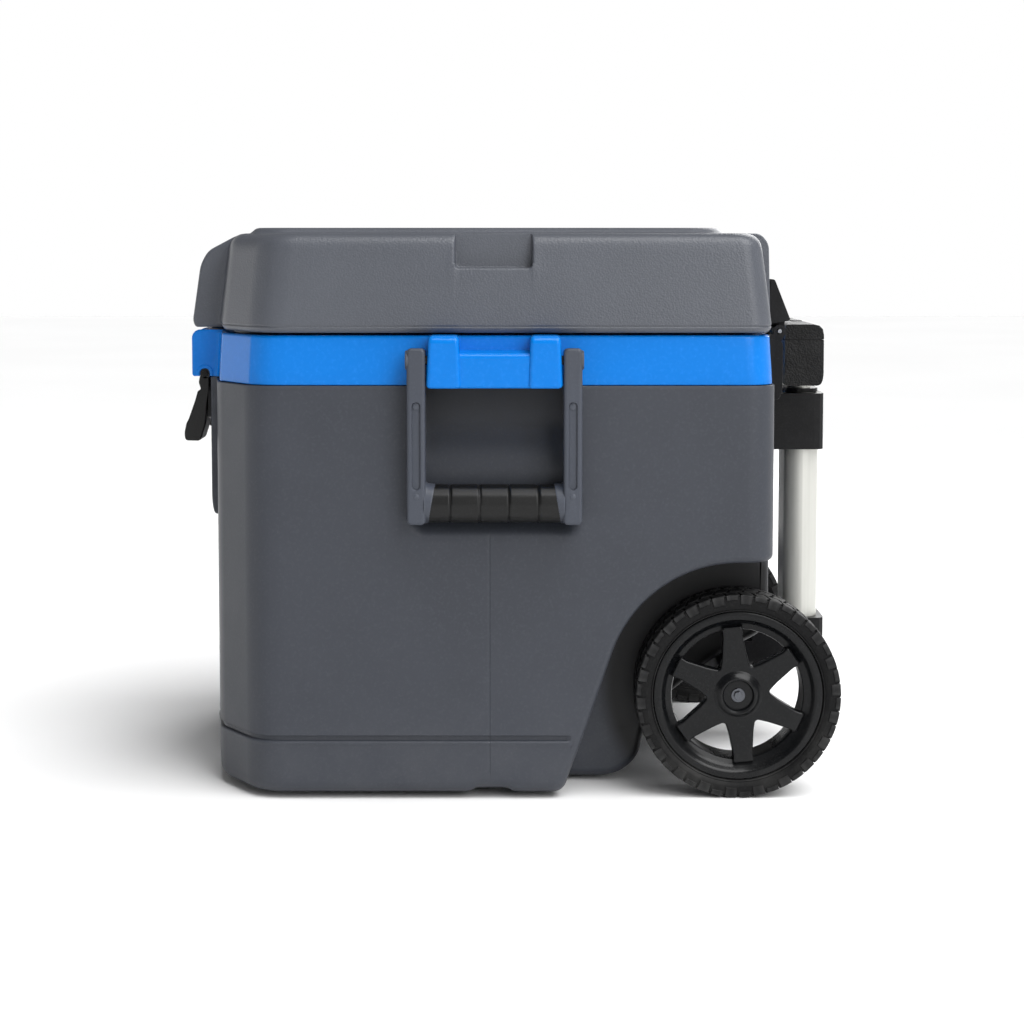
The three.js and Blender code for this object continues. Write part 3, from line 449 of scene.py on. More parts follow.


# The tub's colour carries painted shade inside its wheel arches and at the top of its bail recesses.
TUB_GREY = moulded("tub_grey", srgb(55, 58, 65), 0.44, grain=700, grain_height=0.04, wear_and_highlight=0.3, dust=0.05,
                   specular=0.3, hollow_shade=1.0)
LID_GREY = moulded("lid_grey", srgb(76, 79, 86), 0.4, grain=1100, grain_height=0.05, pebble=0.2,
                   pebble_scale=600, wear_and_highlight=0.35, specular=0.42)
BLUE = moulded("collar_blue", srgb(1, 111, 198), 0.24, grain=500, grain_height=0.01, cloud=0.03,
               wear_and_highlight=0.1, scuff=0.05, specular=0.14, coat=0.12)
ARM_GREY = moulded("bail_grey", srgb(62, 66, 75), 0.42, grain=800, grain_height=0.04, wear_and_highlight=0.35, specular=0.3)
BLACK = moulded("black_plastic", srgb(11, 11, 13), 0.34, grain=900, grain_height=0.03, wear_and_highlight=0.16,
                specular=0.15)
GRIP_BLACK = moulded("grip_plastic", srgb(8, 8, 9), 0.4, grain=1200, grain_height=0.1, pebble=0.5,
                     pebble_scale=620, wear_and_highlight=0.3, specular=0.15)
RUBBER = moulded("rubber", srgb(12, 12, 12), 0.38, grain=1300, grain_height=0.06, wear_and_highlight=0.25, specular=0.3)
TYRE_BLACK = moulded("tyre_rubber", srgb(10, 10, 11), 0.55, grain=900, grain_height=0.08, wear_and_highlight=0.9,
                     scuff=0.2, dust=0.1, specular=0.16)
RIM_BLACK = moulded("rim_plastic", srgb(8, 9, 11), 0.28, grain=800, grain_height=0.03, wear_and_highlight=0.35,
                    dust=0.03, specular=0.16, coat=0.12)
WHITE = moulded("liner_white", srgb(226, 227, 224), 0.35, grain=600, grain_height=0.02, cloud=0.025,
                wear_and_highlight=0.0, scuff=0.25, coat=0.2)
FOAM = moulded("foam", srgb(58, 57, 55), 0.85, grain=700, grain_height=0.3, pebble=0.5, wear_and_highlight=0)
STEEL = metal("steel", srgb(140, 142, 146), 0.34, (1, 1, 1))
BOLT_STEEL = metal("bolt_steel", srgb(92, 94, 99), 0.26, (1, 1, 1))
ALUMINIUM = metal("mast_metal", srgb(206, 206, 200), 0.42, (3, 3, 0.05), brushed=0.005, metallic=0.48)


# ---------------------------------------------------------------- tub
TUB_HALF = [
    (0, BODY_FRONT), (102, -274, 6), (168, -264, 10), (217, -231.5, 7), (227, -219, 7),
    (BODY_SIDE, -205, 7), (BODY_SIDE, BODY_REAR, 25), (0, BODY_REAR),
]
BASE_GROOVE = (
    (47.5, 0), (49.3, -0.45), (50.8, -0.8), (51.7, -0.65), (52.4, 0), (52.9, 1), (53.3, 2.4),
    (57.0, 2.6), (57.4, 0.4), (58.2, -0.2), (60, -0.2), (63, 0),
)
GROOVE_SPAN = (34, 56.5)         # from the drain's side round to the front of the wheel arch
PARTING_Y = -16.7
SCOOP_HALF = 76
BOTTOM_ROUND = 11
ARCH_ROUND = 6


class Rail:
    """Half a plan outline measured along its length, with smooth normals."""

    def __init__(self, points):
        self.points = points
        self.marks = [0.0]
        for a, b in zip(points, points[1:]):
            self.marks.append(self.marks[-1] + (b - a).length)
        ways = [(b - a).normalized() for a, b in zip(points, points[1:])]
        self.ways = [ways[0]] + [(a + b).normalized() for a, b in zip(ways, ways[1:])] + [ways[-1]]
        self.ways[0] = Vector((1, 0))
        self.ways[-1] = Vector((-1, 0))

    def at(self, s, depth=0.0):
        """The plan point a depth inside the outline at the length s."""
        s = min(max(s, 0.0), self.marks[-1])
        i = max(k for k in range(len(self.marks) - 1) if self.marks[k] <= s + 1e-9)
        t = (s - self.marks[i]) / (self.marks[i + 1] - self.marks[i])
        here = self.points[i].lerp(self.points[i + 1], t)
        way = self.ways[i].lerp(self.ways[i + 1], t).normalized()
        return here.x - way.y * depth, here.y + way.x * depth


def scoop_depth(y, z):
    """How far the hand recess behind a bail handle goes in."""
    across = smooth_step((SCOOP_HALF - abs(y - BRACKET_Y)) / 13)
    down = 12.5 * smooth_step((z - 236) / 17) + 13 * smooth_step((z - 294) / 44)
    return across * down


def hump_at(y):
    """How far the tub's lower edge lifts off the floor in the middle of each side."""
    return 3.6 * smooth_step((21 - abs(y + 15)) / 9)


def arch_edge():
    """The wheel arch's edge on the tub's side as (y, z), from the floor up to the roof."""
    foot = Vector((49, BODY_BOTTOM))
    start = Vector((WHEEL_Y + ARCH_R * math.cos(ARCH_END), ARCH_Z + ARCH_R * math.sin(ARCH_END)))
    corner = rounded([(20, BODY_BOTTOM), (*foot, 9), tuple(start)], 6)[1:-1]
    line = [corner[-1].lerp(start, t) for t in between(0, 1, 14)[1:]]
    arc = [Vector((WHEEL_Y + ARCH_R * math.cos(a), ARCH_Z + ARCH_R * math.sin(a)))
           for a in between(ARCH_END, math.pi / 2, 34)[1:]]
    return corner + line + arc


def tub_columns(rail, flat):
    """Where the tub's sheet has its vertical lines, as lengths along the plan."""
    marks = list(rail.marks)
    for a, b in zip(rail.marks, rail.marks[1:]):
        if b - a > 30 and not (rail.at(a)[0] > 229.9 and rail.at(b)[0] > 229.9):
            marks += between(a, b, math.ceil((b - a) / 20))
    marks += [flat(y) for y in between(-190, -96, 5)]
    marks += [flat(y) for y in between(BRACKET_Y - 80, BRACKET_Y + 80, 40)]
    marks += [flat(PARTING_Y + d) for d in (-0.9, 0, 0.9)]
    marks += [flat(y) for y in between(80, 205, 6)]
    marks += [GROOVE_SPAN[0] + d for d in (0, 2, 4, 6)] + [flat(GROOVE_SPAN[1] - d) for d in (6, 4, 2, 0)]
    keep = []
    for mark in sorted(marks):
        if not keep or mark - keep[-1] > 0.3:
            keep.append(mark)
    return keep


def tub_sheet():
    """The tub's outer wall: a sheet of (length round the plan, height) with its depths."""
    rail = Rail(rounded(TUB_HALF, 7))
    s_flat = next(s for s, p in zip(rail.marks, rail.points) if p.x > 229.99)
    y_flat = rail.at(s_flat)[1]

    def flat(y):
        return s_flat + y - y_flat

    columns = tub_columns(rail, flat)
    edge = [(s, BODY_BOTTOM + hump_at(s - flat(0))) for s in columns if s < flat(38)]
    edge += [(flat(p.x), p.y) for p in arch_edge()]
    edge += [(s, ARCH_Z + ARCH_R) for s in columns if s > flat(WHEEL_Y) + 0.5]
    edge = [Vector(p) for p in edge]
    count = len(edge)
    normals = []
    for i in range(count):
        way = (edge[min(i + 1, count - 1)] - edge[max(i - 1, 0)]).normalized()
        normals.append(Vector((-way.y, way.x)))
    normals[0] = normals[-1] = Vector((0, 1))
    steps = 6
    bands = []
    for k in range(steps + 1):
        angle = math.pi / 2 * k / steps
        band = []
        for p, n in zip(edge, normals):
            blend = smooth_step((p.y - 12) / 50) if p.x > flat(38) else 0
            radius = BOTTOM_ROUND + (ARCH_ROUND - BOTTOM_ROUND) * blend
            q = p + n * (radius * (1 - math.cos(angle)))
            band.append((q.x, q.y, radius * (1 - math.sin(angle))))
        bands.append(band)

    skin = Skin()

    def place(s, z, depth):
        x, y = rail.at(s, depth)
        return (x, y, z)

    verts = [place(*p) for band in bands for p in band]
    faces = []
    for k in range(steps):
        for i in range(count - 1):
            a, b = k * count + i, (k + 1) * count + i
            faces.append((a, a + 1, b + 1, b))
    skin.add(verts, faces)
    add_interior(skin, rail, flat, columns, bands[-1], place)
    add_underside(skin, rail, bands[0], flat)
    return skin


def add_interior(skin, rail, flat, columns, border, place):
    """Fills the sheet above the rounded lower edge, with the groove, seam and scoop in it."""
    end = rail.marks[-1]
    rows = [25, 38] + [z for z, _ in BASE_GROOVE] + between(74, 230, 8)
    rows += between(236, BODY_TOP, 32)
    rows.insert(-1, BODY_TOP - 1)

    def lowest(s):
        for (a, za, _), (b, zb, _) in zip(border, border[1:]):
            if a <= s <= b:
                return za + (zb - za) * (s - a) / max(1e-6, b - a)
        return border[-1][1]

    points = [Vector((s, z)) for s, z, _ in border]
    depths = [0.0] * len(points)
    edges = [(i, i + 1) for i in range(len(points) - 1)]
    groove = dict(BASE_GROOVE)
    g0, g1 = GROOVE_SPAN[0], flat(GROOVE_SPAN[1])
    index = {}
    drain_r = 27
    for z in rows:
        in_groove = z in groove
        for s in columns:
            top = z > BODY_TOP - 0.01
            if z < lowest(s) + (2.5 if s in (0, end) else 4) and not in_groove:
                continue
            if math.hypot(s, z - 56) < drain_r + 3 and not in_groove:
                continue
            if in_groove and not g0 - 0.01 <= s <= g1 + 0.01:
                continue
            y = rail.at(s)[1]
            depth = 0.0
            if in_groove:
                depth += groove[z] * smooth_step(min(s - g0, g1 - s) / 6)
            if rail.at(s)[0] > 229.9 and z > 236:
                depth += scoop_depth(y, z)
            if top:
                depth += 0.6
            if abs(s - flat(PARTING_Y)) < 0.05 and z < 240 and not top:
                depth += 0.45
            index[(s, z)] = len(points)
            points.append(Vector((s, z)))
            depths.append(depth)
    for z in list(groove) + [BODY_TOP]:
        row = [index[(s, z)] for s in columns if (s, z) in index]
        edges += list(zip(row, row[1:]))
    for s in columns:
        column = [index[(s, z)] for z in rows if (s, z) in index]
        if s in (columns[0], columns[-1]) or abs(s - flat(PARTING_Y)) < 1:
            edges += list(zip(column, column[1:]))
    for radius, depth in ((drain_r + 1.4, 0), (drain_r + 0.3, 1.2), (drain_r, 3), (drain_r, 18.6),
                          (drain_r - 1.5, 19)):
        ring = []
        for k in range(25):
            angle = math.pi * (k / 24 - 0.5)
            ring.append(len(points))
            shift = 0.02 * (depth > 10)
            points.append(Vector(((radius - shift) * math.cos(angle),
                                  56 + (radius - shift) * math.sin(angle))))
            depths.append(depth)
        edges += list(zip(ring, ring[1:]))
    edges += [(0, index[(columns[0], 25)])] if (columns[0], 25) in index else []
    found = delaunay_2d_cdt(points, edges, [], 0, 1e-4)
    coords, _, triangles, originals = found[:4]
    verts = []
    for p, source in zip(coords, originals):
        verts.append(place(p.x, p.y, depths[source[0]] if source else 0.0))
    keep = []
    for face in triangles:
        s = sum(coords[i].x for i in face) / len(face)
        z = sum(coords[i].y for i in face) / len(face)
        if z > lowest(s) and z < BODY_TOP:
            keep.append(tuple(face))
    skin.add(verts, keep)


def add_underside(skin, rail, band, flat):
    """Carries the rounded edge on under the floor and over the wheels."""
    verts = []
    faces = []
    for s, z, depth in band:
        x, y = rail.at(s, depth)
        crossing = s < flat(46)
        verts += [(x, y, z), (-x if crossing else min(x, SPINE_HALF - 5), y, z)]
    for i in range(len(band) - 1):
        a = 2 * i
        faces.append((a, a + 1, a + 3, a + 2))
    skin.add(verts, faces)


def spine_skin():
    """The narrower body between the wheels, from the rear panel round under the tub."""
    corners = [(229, 353), (238.3, 352, 3), (238.3, 141, 16), (190, 116, 24), (129, 66, 28), (119, 20, 13),
               (97, 4.4, 12), (24.2, 4.4), (23.8, 4.4), (-60, 4.4), (-182, 4.4), (-190, 6)]
    points = rounded(corners, 7)
    thickness = 3
    fillet = 8.5
    rings = []
    for i, here in enumerate(points):
        way = (points[min(i + 1, len(points) - 1)] - points[max(i - 1, 0)]).normalized()
        inward = Vector((way.y, -way.x))
        y, z = here
        inner = (min(y, 232), max(z, 236)) if y > 24 else (y, 36)
        right = [(SPINE_HALF, *inner)]
        for k in range(6):
            angle = math.pi / 2 * k / 5
            p = here + inward * (fillet * (1 - math.sin(angle)))
            right.append((SPINE_HALF - fillet * (1 - math.cos(angle)), p.x, p.y))
        left = [(-x, yy, zz) for x, yy, zz in right[::-1]]
        p = here + inward * fillet
        q = here + inward * thickness
        inside = [(-SPINE_HALF + thickness, *inner), (-SPINE_HALF + thickness, p.x, p.y),
                  (-SPINE_HALF + fillet, q.x, q.y), (SPINE_HALF - fillet, q.x, q.y),
                  (SPINE_HALF - thickness, p.x, p.y), (SPINE_HALF - thickness, *inner)]
        rings.append(right + left + inside)
    skin = Skin()
    skin.loft(rings)
    return skin


def build_tub():
    half = tub_sheet()
    skin = Skin()
    skin.take(half)
    skin.take(half.flipped())
    make("tub_skin", skin, TUB_GREY, "case", ["body_shell"], sharp=34, thick=3, oriented=True)
    extra = spine_skin()
    pad = rounded([(-NOSE_HALF, 237.5, 24), (NOSE_HALF, 237.5, 24), (NOSE_HALF, 369.6),
                   (-NOSE_HALF, 369.6)], 8)
    extra.prism(pad, -279.7, -262, 2.2, along_y, ends=(True, False))
    for side in (-1, 1):
        skid = rounded(box_corners(112, 150, -222, 30, 13), 6)
        piece = Skin()
        piece.prism(skid, 0, 9, 2.4, along_z, ends=(True, False))
        extra.take(piece.side(side))
    make("tub_spine", extra, TUB_GREY, "case")


# ---------------------------------------------------------------- collar
COLLAR_HALF = [
    (0, BODY_FRONT), (102, -274, 3.5), (168, -264, 3), (217, -231.5, 2.2), (227, -219, 8),
    (BODY_SIDE, -205, 8), (BODY_SIDE, BODY_REAR, 25), (0, BODY_REAR),
]


def scaled_ring(outline, z, drawn_in):
    """A plan outline drawn in towards the tub's middle, at a height."""
    kx = 1 - drawn_in / BODY_SIDE
    ky = 1 - drawn_in / HALF_LENGTH
    return [(p.x * kx, MIDDLE_Y + (p.y - MIDDLE_Y) * ky, z) for p in outline]


MOUTH_HALF = 198.3
MOUTH_Y = (-243.3, 203.3)
MOUTH_CORNER = 26


def mouth_ring(outline, z, grow=0.0):
    """The collar's mouth, with one point on the way out to each point of the outline."""
    mouth = rounded(box_corners(-MOUTH_HALF - grow, MOUTH_HALF + grow, MOUTH_Y[0] - grow, MOUTH_Y[1] + grow,
                                MOUTH_CORNER), 8)
    middle = Vector((0, sum(MOUTH_Y) / 2))
    ring = []
    for p in outline:
        way = p - middle
        for a, b in zip(mouth, mouth[1:] + mouth[:1]):
            side = b - a
            across = way.cross(side)
            if abs(across) < 1e-9:
                continue
            t = (a - middle).cross(side) / across
            u = (a - middle).cross(way) / across
            if t > 0 and -1e-6 <= u <= 1 + 1e-6:
                hit = middle + way * t
                ring.append((hit.x, hit.y, z))
                break
    return ring


def dense(outline, longest=24):
    """An outline with its long straight stretches cut up."""
    points = []
    for a, b in zip(outline, outline[1:] + outline[:1]):
        count = max(1, math.ceil((b - a).length / longest))
        points += [a.lerp(b, k / count) for k in range(count)]
    return points


def front_at(y, drawn_in):
    return MIDDLE_Y + (y - MIDDLE_Y) * (1 - drawn_in / HALF_LENGTH)


def add_cove(skin, face, start, end, rows):
    """A hollow fillet from the nose's end face to the panel that runs from start to end, by
    (height, how far the plan is drawn in, radius)."""
    rings = []
    for z, drawn_in, radius in rows:
        shrink = 1 - drawn_in / BODY_SIDE
        y = front_at(start[1], drawn_in)
        slope = (front_at(end[1], drawn_in) - y) / ((end[0] - start[0]) * shrink)
        foot = y + slope * (face - start[0] * shrink) - 0.06
        arc = rounded([(face, foot - radius), (face, foot, radius * 0.99),
                       (face + radius, foot + slope * radius)], 8)
        rings.append([(p.x, p.y, z) for p in arc] + [(face + radius, foot + 4, z), (face - 3, foot + 4, z)])
    skin.loft(rings)


def build_collar():
    outline = dense(rounded(mirrored(COLLAR_HALF), 7))
    rows = [(369.9, 3), (370.2, 2.2), (371.2, 1.9), (384, 2.6), (400, 3.6), (411.2, 4.3), (412.4, 4.6),
            (413.3, 5.4), (413.7, 6.6), (413.9, 8)]
    rings = [scaled_ring(outline, z, d) for z, d in rows]
    rings += [mouth_ring(outline, 413.9, 1.2), mouth_ring(outline, 413.3, 0.3), mouth_ring(outline, 412, 0),
              mouth_ring(outline, 369.9, 0)]
    skin = Skin()
    skin.loft(rings, closed=True)
    nose = [(-262, 370), (-297, 370, 2.5), (-297, 413.9, 8), (-262, 413.9)]
    skin.prism(rounded(nose), -61.3, 61.3, 1.6, along_x)
    seat = [(-262, 370), (-277.5, 370), (-277.5, 380, 3), (-286, 386, 3), (-288.6, 413.9, 4), (-262, 413.9)]
    skin.prism(rounded(seat), -101, 101, 0.4, along_x)
    notch = [(-280.4, 370.1), (-280.4, 377.5, 4.55), (-289.6, 377.5, 4.55), (-289.6, 370.1)]
    cheek = rounded([(-262, 370.1)] + notch + [(-297, 370.1, 2.5), (-297, 413.9, 8), (-262, 413.9)], 7)
    for side in (-1, 1):
        part = Skin()
        part.prism(cheek, 99.2, NOSE_HALF - 0.7, 1.6, along_x, steps=4, ends=(False, True))
        add_cove(part, NOSE_HALF - 0.68, (102, -274), (168, -264),
                 ((370.2, 2.2, 5), (371.2, 1.9, 5), (384, 2.6, 5), (400, 3.6, 5), (411.2, 4.3, 5)))
        add_notch_rim(part)
        part.take(bracket_parts())
        skin.take(part.side(side))
    make("collar_skin", skin, BLUE, "case", ["collar"], sharp=40)


def add_notch_rim(skin):
    """The raised rim round the latch's pin notch on the nose's end face."""
    outer = [(-277.2, 370.4), (-277.2, 381, 7.6), (-292.8, 381, 7.6), (-292.8, 370.4)]
    inner = [(-289.7, 370.4), (-289.7, 377.6, 4.5), (-280.3, 377.6, 4.5), (-280.3, 370.4)]
    ring = rounded(outer, 8) + rounded(inner, 8)
    skin.prism(ring, NOSE_HALF - 2, NOSE_HALF, 0.7, along_x, ends=(False, True))


def bracket_parts():
    """Two ribs and the panel between them that carry a bail handle."""
    part = Skin()
    rib = [(223, 368.8), (254.8, 368.8, 2.5), (254.8, 414.5, 7), (223, 414.5)]
    panel = [(223, 368.8), (252.4, 368.8, 2.5), (252.4, 399.4, 5), (223, 401.2)]
    y0, y1 = BRACKET_Y - 59, BRACKET_Y + 59
    for a, b in ((y0 + 1.4, y0 + 28), (y1 - 28, y1 - 1.4)):
        post = Skin()
        post.prism(rounded(rib), a, b, 3.6, along_y, steps=6)
        mid = (a + b) / 2
        flared = [(x, mid + (y - mid) * (1 + 0.13 * smooth_step((415 - z) / 46)), z)
                  for x, y, z in post.verts]
        part.add(flared, post.faces)
    part.prism(rounded(panel), y0 + 9, y1 - 9, 1, along_y)
    return part


# ---------------------------------------------------------------- lid
LID_HALF = [
    (0, -272), (102, -269.5, 6), (169, -259, 10), (216, -228, 7), (227, -215, 7), (BODY_SIDE, -202, 7),
    (BODY_SIDE, 233, 20), (0, 233),
]
NOTCH_Y = (-47.4, 21.2)
NOTCH_FLOOR = 472.8
NOTCH_X = 211
NOTCH_ROUND = 4
LID_ROWS = [
    (416.1, 4.6), (416.3, 3.4), (417.2, 2.2), (418.4, 1.2), (419.6, 0.55), (420.6, 0.3), (421.2, 0.75),
    (422, 0.8), (422.6, 0.3), (423.6, 0.2), (440, 2.1), (456, 4.1), (466, 5.3), (470, 5.8), (471.6, 6),
    (472.4, 6.1), (472.8, 6.15), (473, 6.2), (473.6, 6.3), (475, 6.4), (480, 7.1),
    (486, 7.8), (489, 8.25), (492.6, 9), (496, 10.3), (499, 12.4), (501.3, 15.2),
    (502.8, 18.6), (503.4, 22), (503.5, 27), (503.5, 60),
]


def notch_share(distance):
    """How far the surface has gone to the notch's back wall, by distance inside its rim."""
    if distance <= -1.6:
        return 0.0
    if distance < 0:
        return 0.10 * ((distance + 1.6) / 1.6) ** 2
    return 0.10 + 0.9 * smooth_step(distance / 1.1)


def lid_point(p, z, drawn_in):
    x, y, z = scaled_ring([p], z, drawn_in)[0]
    if abs(x) < NOTCH_X - 2 or not NOTCH_Y[0] - 12 < y < NOTCH_Y[1] + 12:
        return x, y, z
    inside = min(y - NOTCH_Y[0], NOTCH_Y[1] - y)
    rise = 0.0
    if inside < NOTCH_ROUND:
        t = NOTCH_ROUND - max(inside, 0)
        rise = NOTCH_ROUND - math.sqrt(max(0.0, NOTCH_ROUND ** 2 - t * t))
        rise *= smooth_step(1 + min(inside, 0) / 12)
    z += rise * smooth_step((z - 452) / 19) * smooth_step((497 - z) / 17)
    floor = NOTCH_FLOOR + rise
    share = notch_share(inside) * notch_share(z - floor)
    share = min(1.0, share / 0.9) if share > 0.5 else share
    side = 1 if x > 0 else -1
    depth = max(0.0, abs(x) - NOTCH_X)
    return side * (abs(x) - depth * share), y, z


def add_lid_panel(skin):
    """The raised panel on the lid's top, with a soft slope all round it."""
    plan = rounded(box_corners(-186, 186, -236, 196, 36), 8)
    rows = [(502, 0), (503.4, 0), (503.9, 1.4), (505.2, 3), (506.9, 5), (507.9, 6.8), (508.4, 9.4),
            (508.4, 22)]
    skin.loft([[(p.x, p.y, z) for p in inset(plan, d)] for z, d in rows])


def lid_outline():
    corners = mirrored(LID_HALF)
    outline = dense(rounded(corners, 7))
    marks = []
    for edge in NOTCH_Y:
        sign = 1 if edge == NOTCH_Y[0] else -1
        marks += [edge + sign * d for d in (-10, -6, -3, -1.6, -0.8, 0, 0.35, 0.75, 1.1, 2, 3, 4, 5, 6, 7, 9)]
    marks += between(-36, 10, 5)
    points = [p for p in outline if not (abs(p.x) > 229.9 and NOTCH_Y[0] - 14 < p.y < NOTCH_Y[1] + 14)]
    result = []
    for a, b in zip(points, points[1:] + points[:1]):
        result.append(a)
        if abs(a.x) > 229.9 and abs(b.x) > 229.9 and abs(b.y - a.y) > 60:
            ky = 1 - 6.2 / HALF_LENGTH
            between_them = [MIDDLE_Y + (y - MIDDLE_Y) / ky for y in sorted(marks)]
            result += [Vector((a.x, y)) for y in (between_them if b.y > a.y else between_them[::-1])]
    return result


def build_lid():
    outline = lid_outline()
    rings = [scaled_ring(outline, 425, 8), scaled_ring(outline, 417.2, 8), scaled_ring(outline, 416.1, 7)]
    rings += [[lid_point(p, z, d) for p in outline] for z, d in LID_ROWS]
    skin = Skin()
    skin.loft(rings)
    nose = [
        (-257, 416.2), (-293.4, 416.2, 2.4), (-296, 422, 3.6), (-288.2, 474.6, 6), (-281, 487.5, 6),
        (-252, 502.8, 8), (-236, 503.9), (-212, 503.9), (-212, 494), (-257, 470),
    ]
    skin.prism(rounded(nose, 6), -NOSE_HALF, NOSE_HALF, 3.2, along_x, steps=4)
    rear = [
        (217, 416.2), (236.4, 416.2, 1.5), (237, 421, 2), (235, 494, 5), (227.5, 503.3, 5), (190, 503.3),
        (190, 494), (217, 470),
    ]
    skin.prism(rounded(rear, 5), -168, 168, 1.4, along_x, steps=4)
    add_lid_panel(skin)
    coves = Skin()
    add_cove(coves, NOSE_HALF + 0.02, (102, -269.5), (169, -259), (
        (419.6, 0.55, 5), (423.6, 0.2, 5), (440, 2.1, 5), (456, 4.1, 5), (473, 6.2, 5), (486, 7.8, 4.6),
        (492.6, 9, 3), (497, 11, 0.8)))
    for side in (-1, 1):
        skin.take(coves.side(side))
    make("lid_skin", skin, LID_GREY, "lid", ["lid_shell"], sharp=48)


def build_seal():
    """The lid's rubber seal, with wider corners at the front to stay under the lid's chamfers."""
    rings = []
    for drawn, z in ((0.6, 414.1), (0, 414.7), (0, 416.5), (6.5, 416.5), (6.5, 414.7), (5.9, 414.1)):
        plan = [(-207, -250, 50), (207, -250, 50), (207, 212, 26), (-207, 212, 26)]
        rings.append([(p.x, p.y, z) for p in inset(rounded(plan, 8), drawn)])
    skin = Skin()
    skin.loft(rings, closed=True)
    make("lid_gasket_seal", skin, RUBBER, "lid", ["lid_gasket"], sharp=50)


# ---------------------------------------------------------------- wheels
LUGS = 44
LUG_STEPS = (0, 0.08, 0.105, 0.25, 0.4, 0.425, 0.5, 0.575, 0.6, 0.75, 0.895, 0.92)
GROOVE_HALF = 0.09               # half width of a groove between lugs, as a share of a lug
TYRE_X = (173.5, 226.6)
SIDEWALL = [(75.9, 0.80), (76.6, 0.88), (77.3, 0.90), (77.9, 0.88), (78.7, 0.905), (80.8, 0.945),
            (82.0, 0.955)]
CROWN = (0.9, 0.8, 0.62, 0.46, 0.44, 0.36, 0.34, 0.17, 0)


def tyre_ring(lug, step):
    """One section through the tyre as (radius, place across, turn in lugs), on half of its width."""
    groove = min(step, 1 - step) < GROOVE_HALF
    middle_groove = abs(step - 0.5) < GROOVE_HALF
    root = 86.4 if lug % 2 else 82.6
    half = [(r, w, 0.0) for r, w in SIDEWALL]
    half += [(root, 0.957, 0.0), (root + 0.7, 0.957 if groove else 0.99, 0.0)]
    half += [(88.9, 0.94, 0.0), (89.4, 0.92, 0.0)] if groove else [(90.4, 0.975, 0.0), (91.3, 0.94, 0.0)]
    for t in CROWN:
        r = 92 - 1.3 * t ** 3
        if t > 0.45:
            r -= 3.2 * groove
        elif t > 0.35:
            r -= 3.0
        else:
            r -= 3.2 * middle_groove
        half.append((r, t, 0.16 * math.sin(t * 5)))
    return half


def build_tyre(name, side):
    middle, half_width = sum(TYRE_X) / 2, (TYRE_X[1] - TYRE_X[0]) / 2
    rings = []
    for lug in range(LUGS):
        for step in LUG_STEPS:
            half = tyre_ring(lug, step)
            section = half + [(r, -w, -skew) for r, w, skew in half[-2::-1]]
            ring = []
            for r, w, skew in section:
                turn = 2 * math.pi * (lug + step + skew) / LUGS
                ring.append((middle + half_width * w, WHEEL_Y + r * math.cos(turn),
                             WHEEL_R + r * math.sin(turn)))
            rings.append(ring)
    skin = Skin()
    skin.loft(rings, closed=True)
    make(f"tyre_{name}_tread", skin.side(side), TYRE_BLACK, f"wheel_{name}", [f"tyre_{name}"],
         sharp=32)


SPOKE_AXIS = math.radians(35.3)
SPOKE_CORNERS = [(34, -11.2, 3), (55, -8.6, 3), (61.4, -9.9, 2.8), (61.4, 9.9, 2.8), (55, 8.6, 3),
                 (34, 11.2, 3)]
SPOKE_FACE = 219.2


def spoke_directions():
    """Each spoke's angle, with the directions along and across it."""
    for k in range(6):
        axis = SPOKE_AXIS + k * math.pi / 3
        along = Vector((math.cos(axis), math.sin(axis)))
        yield axis, along, Vector((-along.y, along.x))


def spider_outline():
    """The hub plate and its six spokes as one closed outline round the wheel's middle."""
    corners = []
    for axis, u, v in spoke_directions():
        for along, across, reach in SPOKE_CORNERS:
            p = u * along + v * across
            corners.append((WHEEL_Y + p.x, WHEEL_R + p.y, reach))
        between_spokes = axis + math.pi / 6
        corners.append((WHEEL_Y + 27.2 * math.cos(between_spokes),
                        WHEEL_R + 27.2 * math.sin(between_spokes), 3.2))
    return rounded(corners, 5)


def build_rim(name, side):
    skin = Skin()
    ring = [
        (75.7, 178.5), (75.7, 221), (75.2, 222), (74, 222.4), (70.6, 222.6), (69.3, 222.2), (68, 221), (66, 218.2),
        (64, 216.2), (61.5, 215.2), (59.6, 214.2), (58.9, 212.4), (58.7, 206), (58.7, 184), (59.2, 179.6),
        (60.6, 178.5),
    ]
    skin.lathe(ring, along_x, WHEEL_Y, WHEEL_R, 128)
    skin.prism(spider_outline(), 206, SPOKE_FACE, 1.8, along_x, steps=4)
    hub = [
        (9.2, 179), (17, 179), (17.6, 190), (18.6, 204), (21.6, 208), (22.4, 218.4), (21.6, 219.3), (20, 219.8),
        (18.6, 221), (17.2, 222.6), (15.7, 223.3), (14.2, 222.9), (13.2, 221.6), (12.8, 219), (12.6, 211.4),
        (12, 210), (9.2, 209.8),
    ]
    skin.lathe(hub, along_x, WHEEL_Y, WHEEL_R, 64)
    for _, u, v in spoke_directions():
        rib = [u * 16 + v * -1.6, u * 60 + v * -1.6, u * 60 + v * 1.6, u * 16 + v * 1.6]
        rib = [p + Vector((WHEEL_Y, WHEEL_R)) for p in rib]
        skin.prism(rib, 192, 207, 0.5, along_x, steps=2)
    make(f"rim_{name}_spokes", skin.side(side), RIM_BLACK, f"wheel_{name}", [f"wheel_rim_{name}"],
         sharp=36)

    bolt = Skin()
    washer = [(3.9, 219.3), (6.1, 219.3), (6.4, 219.7), (6.4, 220.3), (6.0, 220.7), (3.9, 220.7)]
    bolt.lathe(washer, along_x, WHEEL_Y, WHEEL_R, 40)
    head = rounded([(p.x, p.y, 0.7) for p in circle(4.3, 6, WHEEL_Y, WHEEL_R, 0.2)], 3)
    bolt.prism(head, 220.5, 223.8, 0.6, along_x)
    make(f"hub_bolt_{name}_head", bolt.side(side), BOLT_STEEL, f"wheel_{name}",
         [f"hub_bolt_{name}"], sharp=30)


